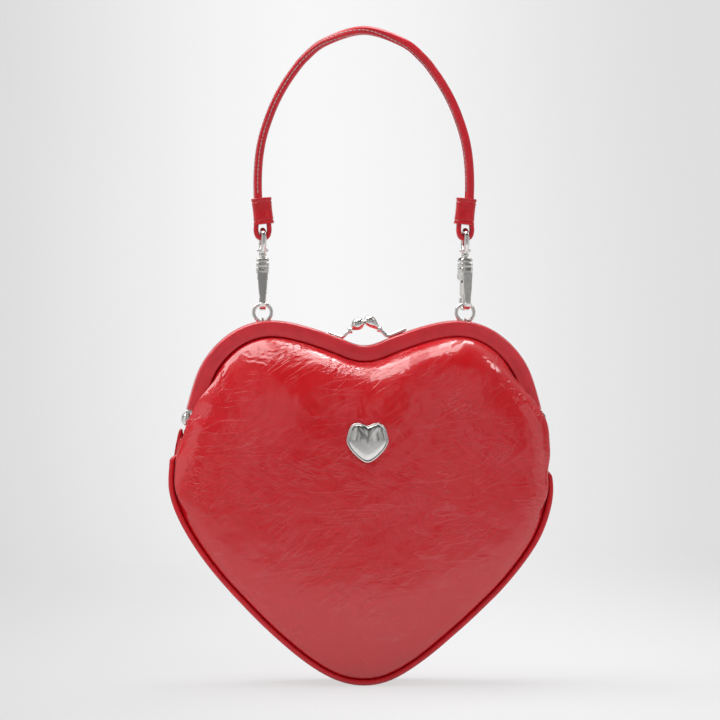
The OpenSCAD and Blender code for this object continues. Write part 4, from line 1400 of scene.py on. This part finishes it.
def plaque():
    spot = np.array([0, hinge_z - PLAQUE_DROP])
    up = np.array([0, PLAQUE_W / 4])
    low, middle, high = (skin_depth(p) for p in (spot - up, spot, spot + up))
    tilt = math.atan((high - low) / (PLAQUE_W / 2))
    c, s = math.cos(tilt), math.sin(tilt)
    shape = (outline - mid) * PLAQUE_W / HEART_W
    rings = []
    for share, height in PLAQUE_ROWS:
        x, z = (shape * share).T
        y = seam_y - middle - PLAQUE_SINK - height * c - z * s
        rings.append(np.stack([x, y, spot[1] - height * s + z * c], 1))
    return sweep("plaque_heart", rings)


dress(plaque(), "purse", "plaque_metal", "plaque", "plaque_backing")


# CAD pieces that show as they are

PAIRED = ("hinge_pin", "ring_lug", "gate", "gate_pin")
plain_pieces = [side + "_" + part for part in PAIRED for side in ("left", "right")]
for name in ["rear_frame", "front_frame"] + plain_pieces:
    nodes[name].data.materials.clear()
    nodes[name].data.materials.append(nickel_cad)


# Studio. The lamps' lengths are metres

FLOOR_Z = tip_z + TIP_LIFT - 0.1
PAPER = (0.75, 0.75, 0.76, 1)
# Paper colour for camera and mirror rays, darker at the left than the right: painted shade that evens out the
# lamps' light on the paper
SEEN_LEFT = (0.148, 0.148, 0.152, 1)
SEEN_RIGHT = (0.235, 0.235, 0.244, 1)
SEEN_HALF_W = 260
# Painted light that the paper gives off for camera and mirror rays, which also lightens the purse's shadow on
# the floor: along which way it changes, from where to where, and the two levels
PAPER_GLOW = [
    ("Y", 300, 1900, 0.63, 0.84), ("Y", -460, -240, 0.5, 1), ("X", -480, 60, 0.68, 1),
    ("X", 0, 480, 1, 0.75), ("Z", 260, 600, 1, 0.15),
]
BACK_LEVEL = 0.5
LAMP_Z = 0.62
# Tall soft lamps at both sides, outside what the flat of the leather reflects
SIDE_LAMPS = [("left_side", -1.35), ("right_side", 1.35)]
# Level soft lamps over the purse: left, right, front and back edge, then radiance
OVERHEAD_LAMPS = {
    "key_left": (-1.2, -0.62, -0.06, 0.57, 3.8), "key_middle": (-0.62, -0.18, -0.42, 0.57, 4.2),
    "key_faint": (-0.18, -0.03, -0.3, 0.57, 1.6), "key_right": (-0.03, 0.26, -0.2, 0.57, 4.2),
}


def studio():
    """Pale sweep that runs from the floor up behind the purse. Camera and mirror rays see it glow with
    painted light and shaded darker at the left.
    """
    front_y, bend_y, bend_r, top_z, half_w, columns = -2600, 1100, 900, 3200, 4000, 9
    bend = arc(bend_y, FLOOR_Z + bend_r, bend_r, -90, 0, 24)
    profile = [(front_y, FLOOR_Z), *bend, (bend_y + bend_r, top_z)]
    rows = [[(x, y, z) for x in np.linspace(-half_w, half_w, columns)] for y, z in profile]
    obj = make_object("studio_sweep", np.vstack(rows), wall(len(rows), columns, closed=False))
    m = material_nodes("studio_paper")
    spot = m.add("SeparateXYZ", {0: m.rest()}).outputs
    rays = m.add("LightPath").outputs
    seen = m.total(rays["Is Camera Ray"], rays["Is Glossy Ray"], rays["Is Transmission Ray"])
    seen = m.math("MINIMUM", seen, 1.0)
    shown = m.mix(m.ramp(spot["X"], -SEEN_HALF_W, SEEN_HALF_W), SEEN_LEFT, SEEN_RIGHT)
    glow = m.times(seen, *[m.ramp(spot[way], *change) for way, *change in PAPER_GLOW])
    m.set(Base_Color=m.mix(seen, PAPER, shown), Roughness=0.9, Specular_IOR_Level=0.1)
    m.set(Emission_Color=WHITE, Emission_Strength=glow)
    obj.data.materials.append(m.owner)


def world():
    """Even front light that darkens towards the ceiling, with soft upright bands."""
    scene.world = bpy.data.worlds.new("world")
    m = Nodes(scene.world, "Background")
    way = m.add("TexCoord").outputs["Generated"]
    split = m.add("SeparateXYZ", {0: way}).outputs
    bands = m.ramp(m.noise(m.scaled(way, (7, 0, 1.3)), 1.0, detail=1.0), 0.36, 0.62, 0.1, 0.55)
    front_level = m.times(bands, m.ramp(split["Z"], 0.4, 0.74, 1.0, 0.25))
    behind = m.ramp(split["Y"], -0.1, 0.4)
    level = m.total(m.times(front_level, m.math("SUBTRACT", 1.0, behind)), m.times(behind, BACK_LEVEL))
    m.set(Color=WHITE, Strength=level)


def add_lamp(name, spot, aim, size, radiance):
    data = bpy.data.lights.new(name, "AREA")
    data.shape = "RECTANGLE"
    data.size, data.size_y = size
    data.energy = radiance * math.pi * size[0] * size[1]
    lamp = bpy.data.objects.new(name, data)
    lamp.location = spot
    lamp.rotation_euler = (Vector(aim) - Vector(spot)).to_track_quat("-Z", "Y").to_euler()
    scene.collection.objects.link(lamp)
    return lamp


studio()
world()
for name, x in SIDE_LAMPS:
    add_lamp(name, (x, -0.38, -0.1), (0, 0, -0.2), (0.5, 1.3), 0.55)
for name, (left, right, near_y, far_y, radiance) in OVERHEAD_LAMPS.items():
    x, y = (left + right) / 2, (near_y + far_y) / 2
    add_lamp(name, (x, y, LAMP_Z), (x, y + 0.0001, 0), (right - left, far_y - near_y), radiance)
add_lamp("back_strip", (0.25, 0.5, LAMP_Z), (0.25, 0.2, -0.2), (0.3, 0.26), 4.5)
add_lamp("spark", (0.85, -0.05, LAMP_Z), (0.08, 0, -0.18), (0.16, 0.3), 6)
fill = add_lamp("fill", (0.5, -2.3, 1.5), (0, 0, -0.2), (2.4, 1.2), 2.2)
fill.visible_glossy = False
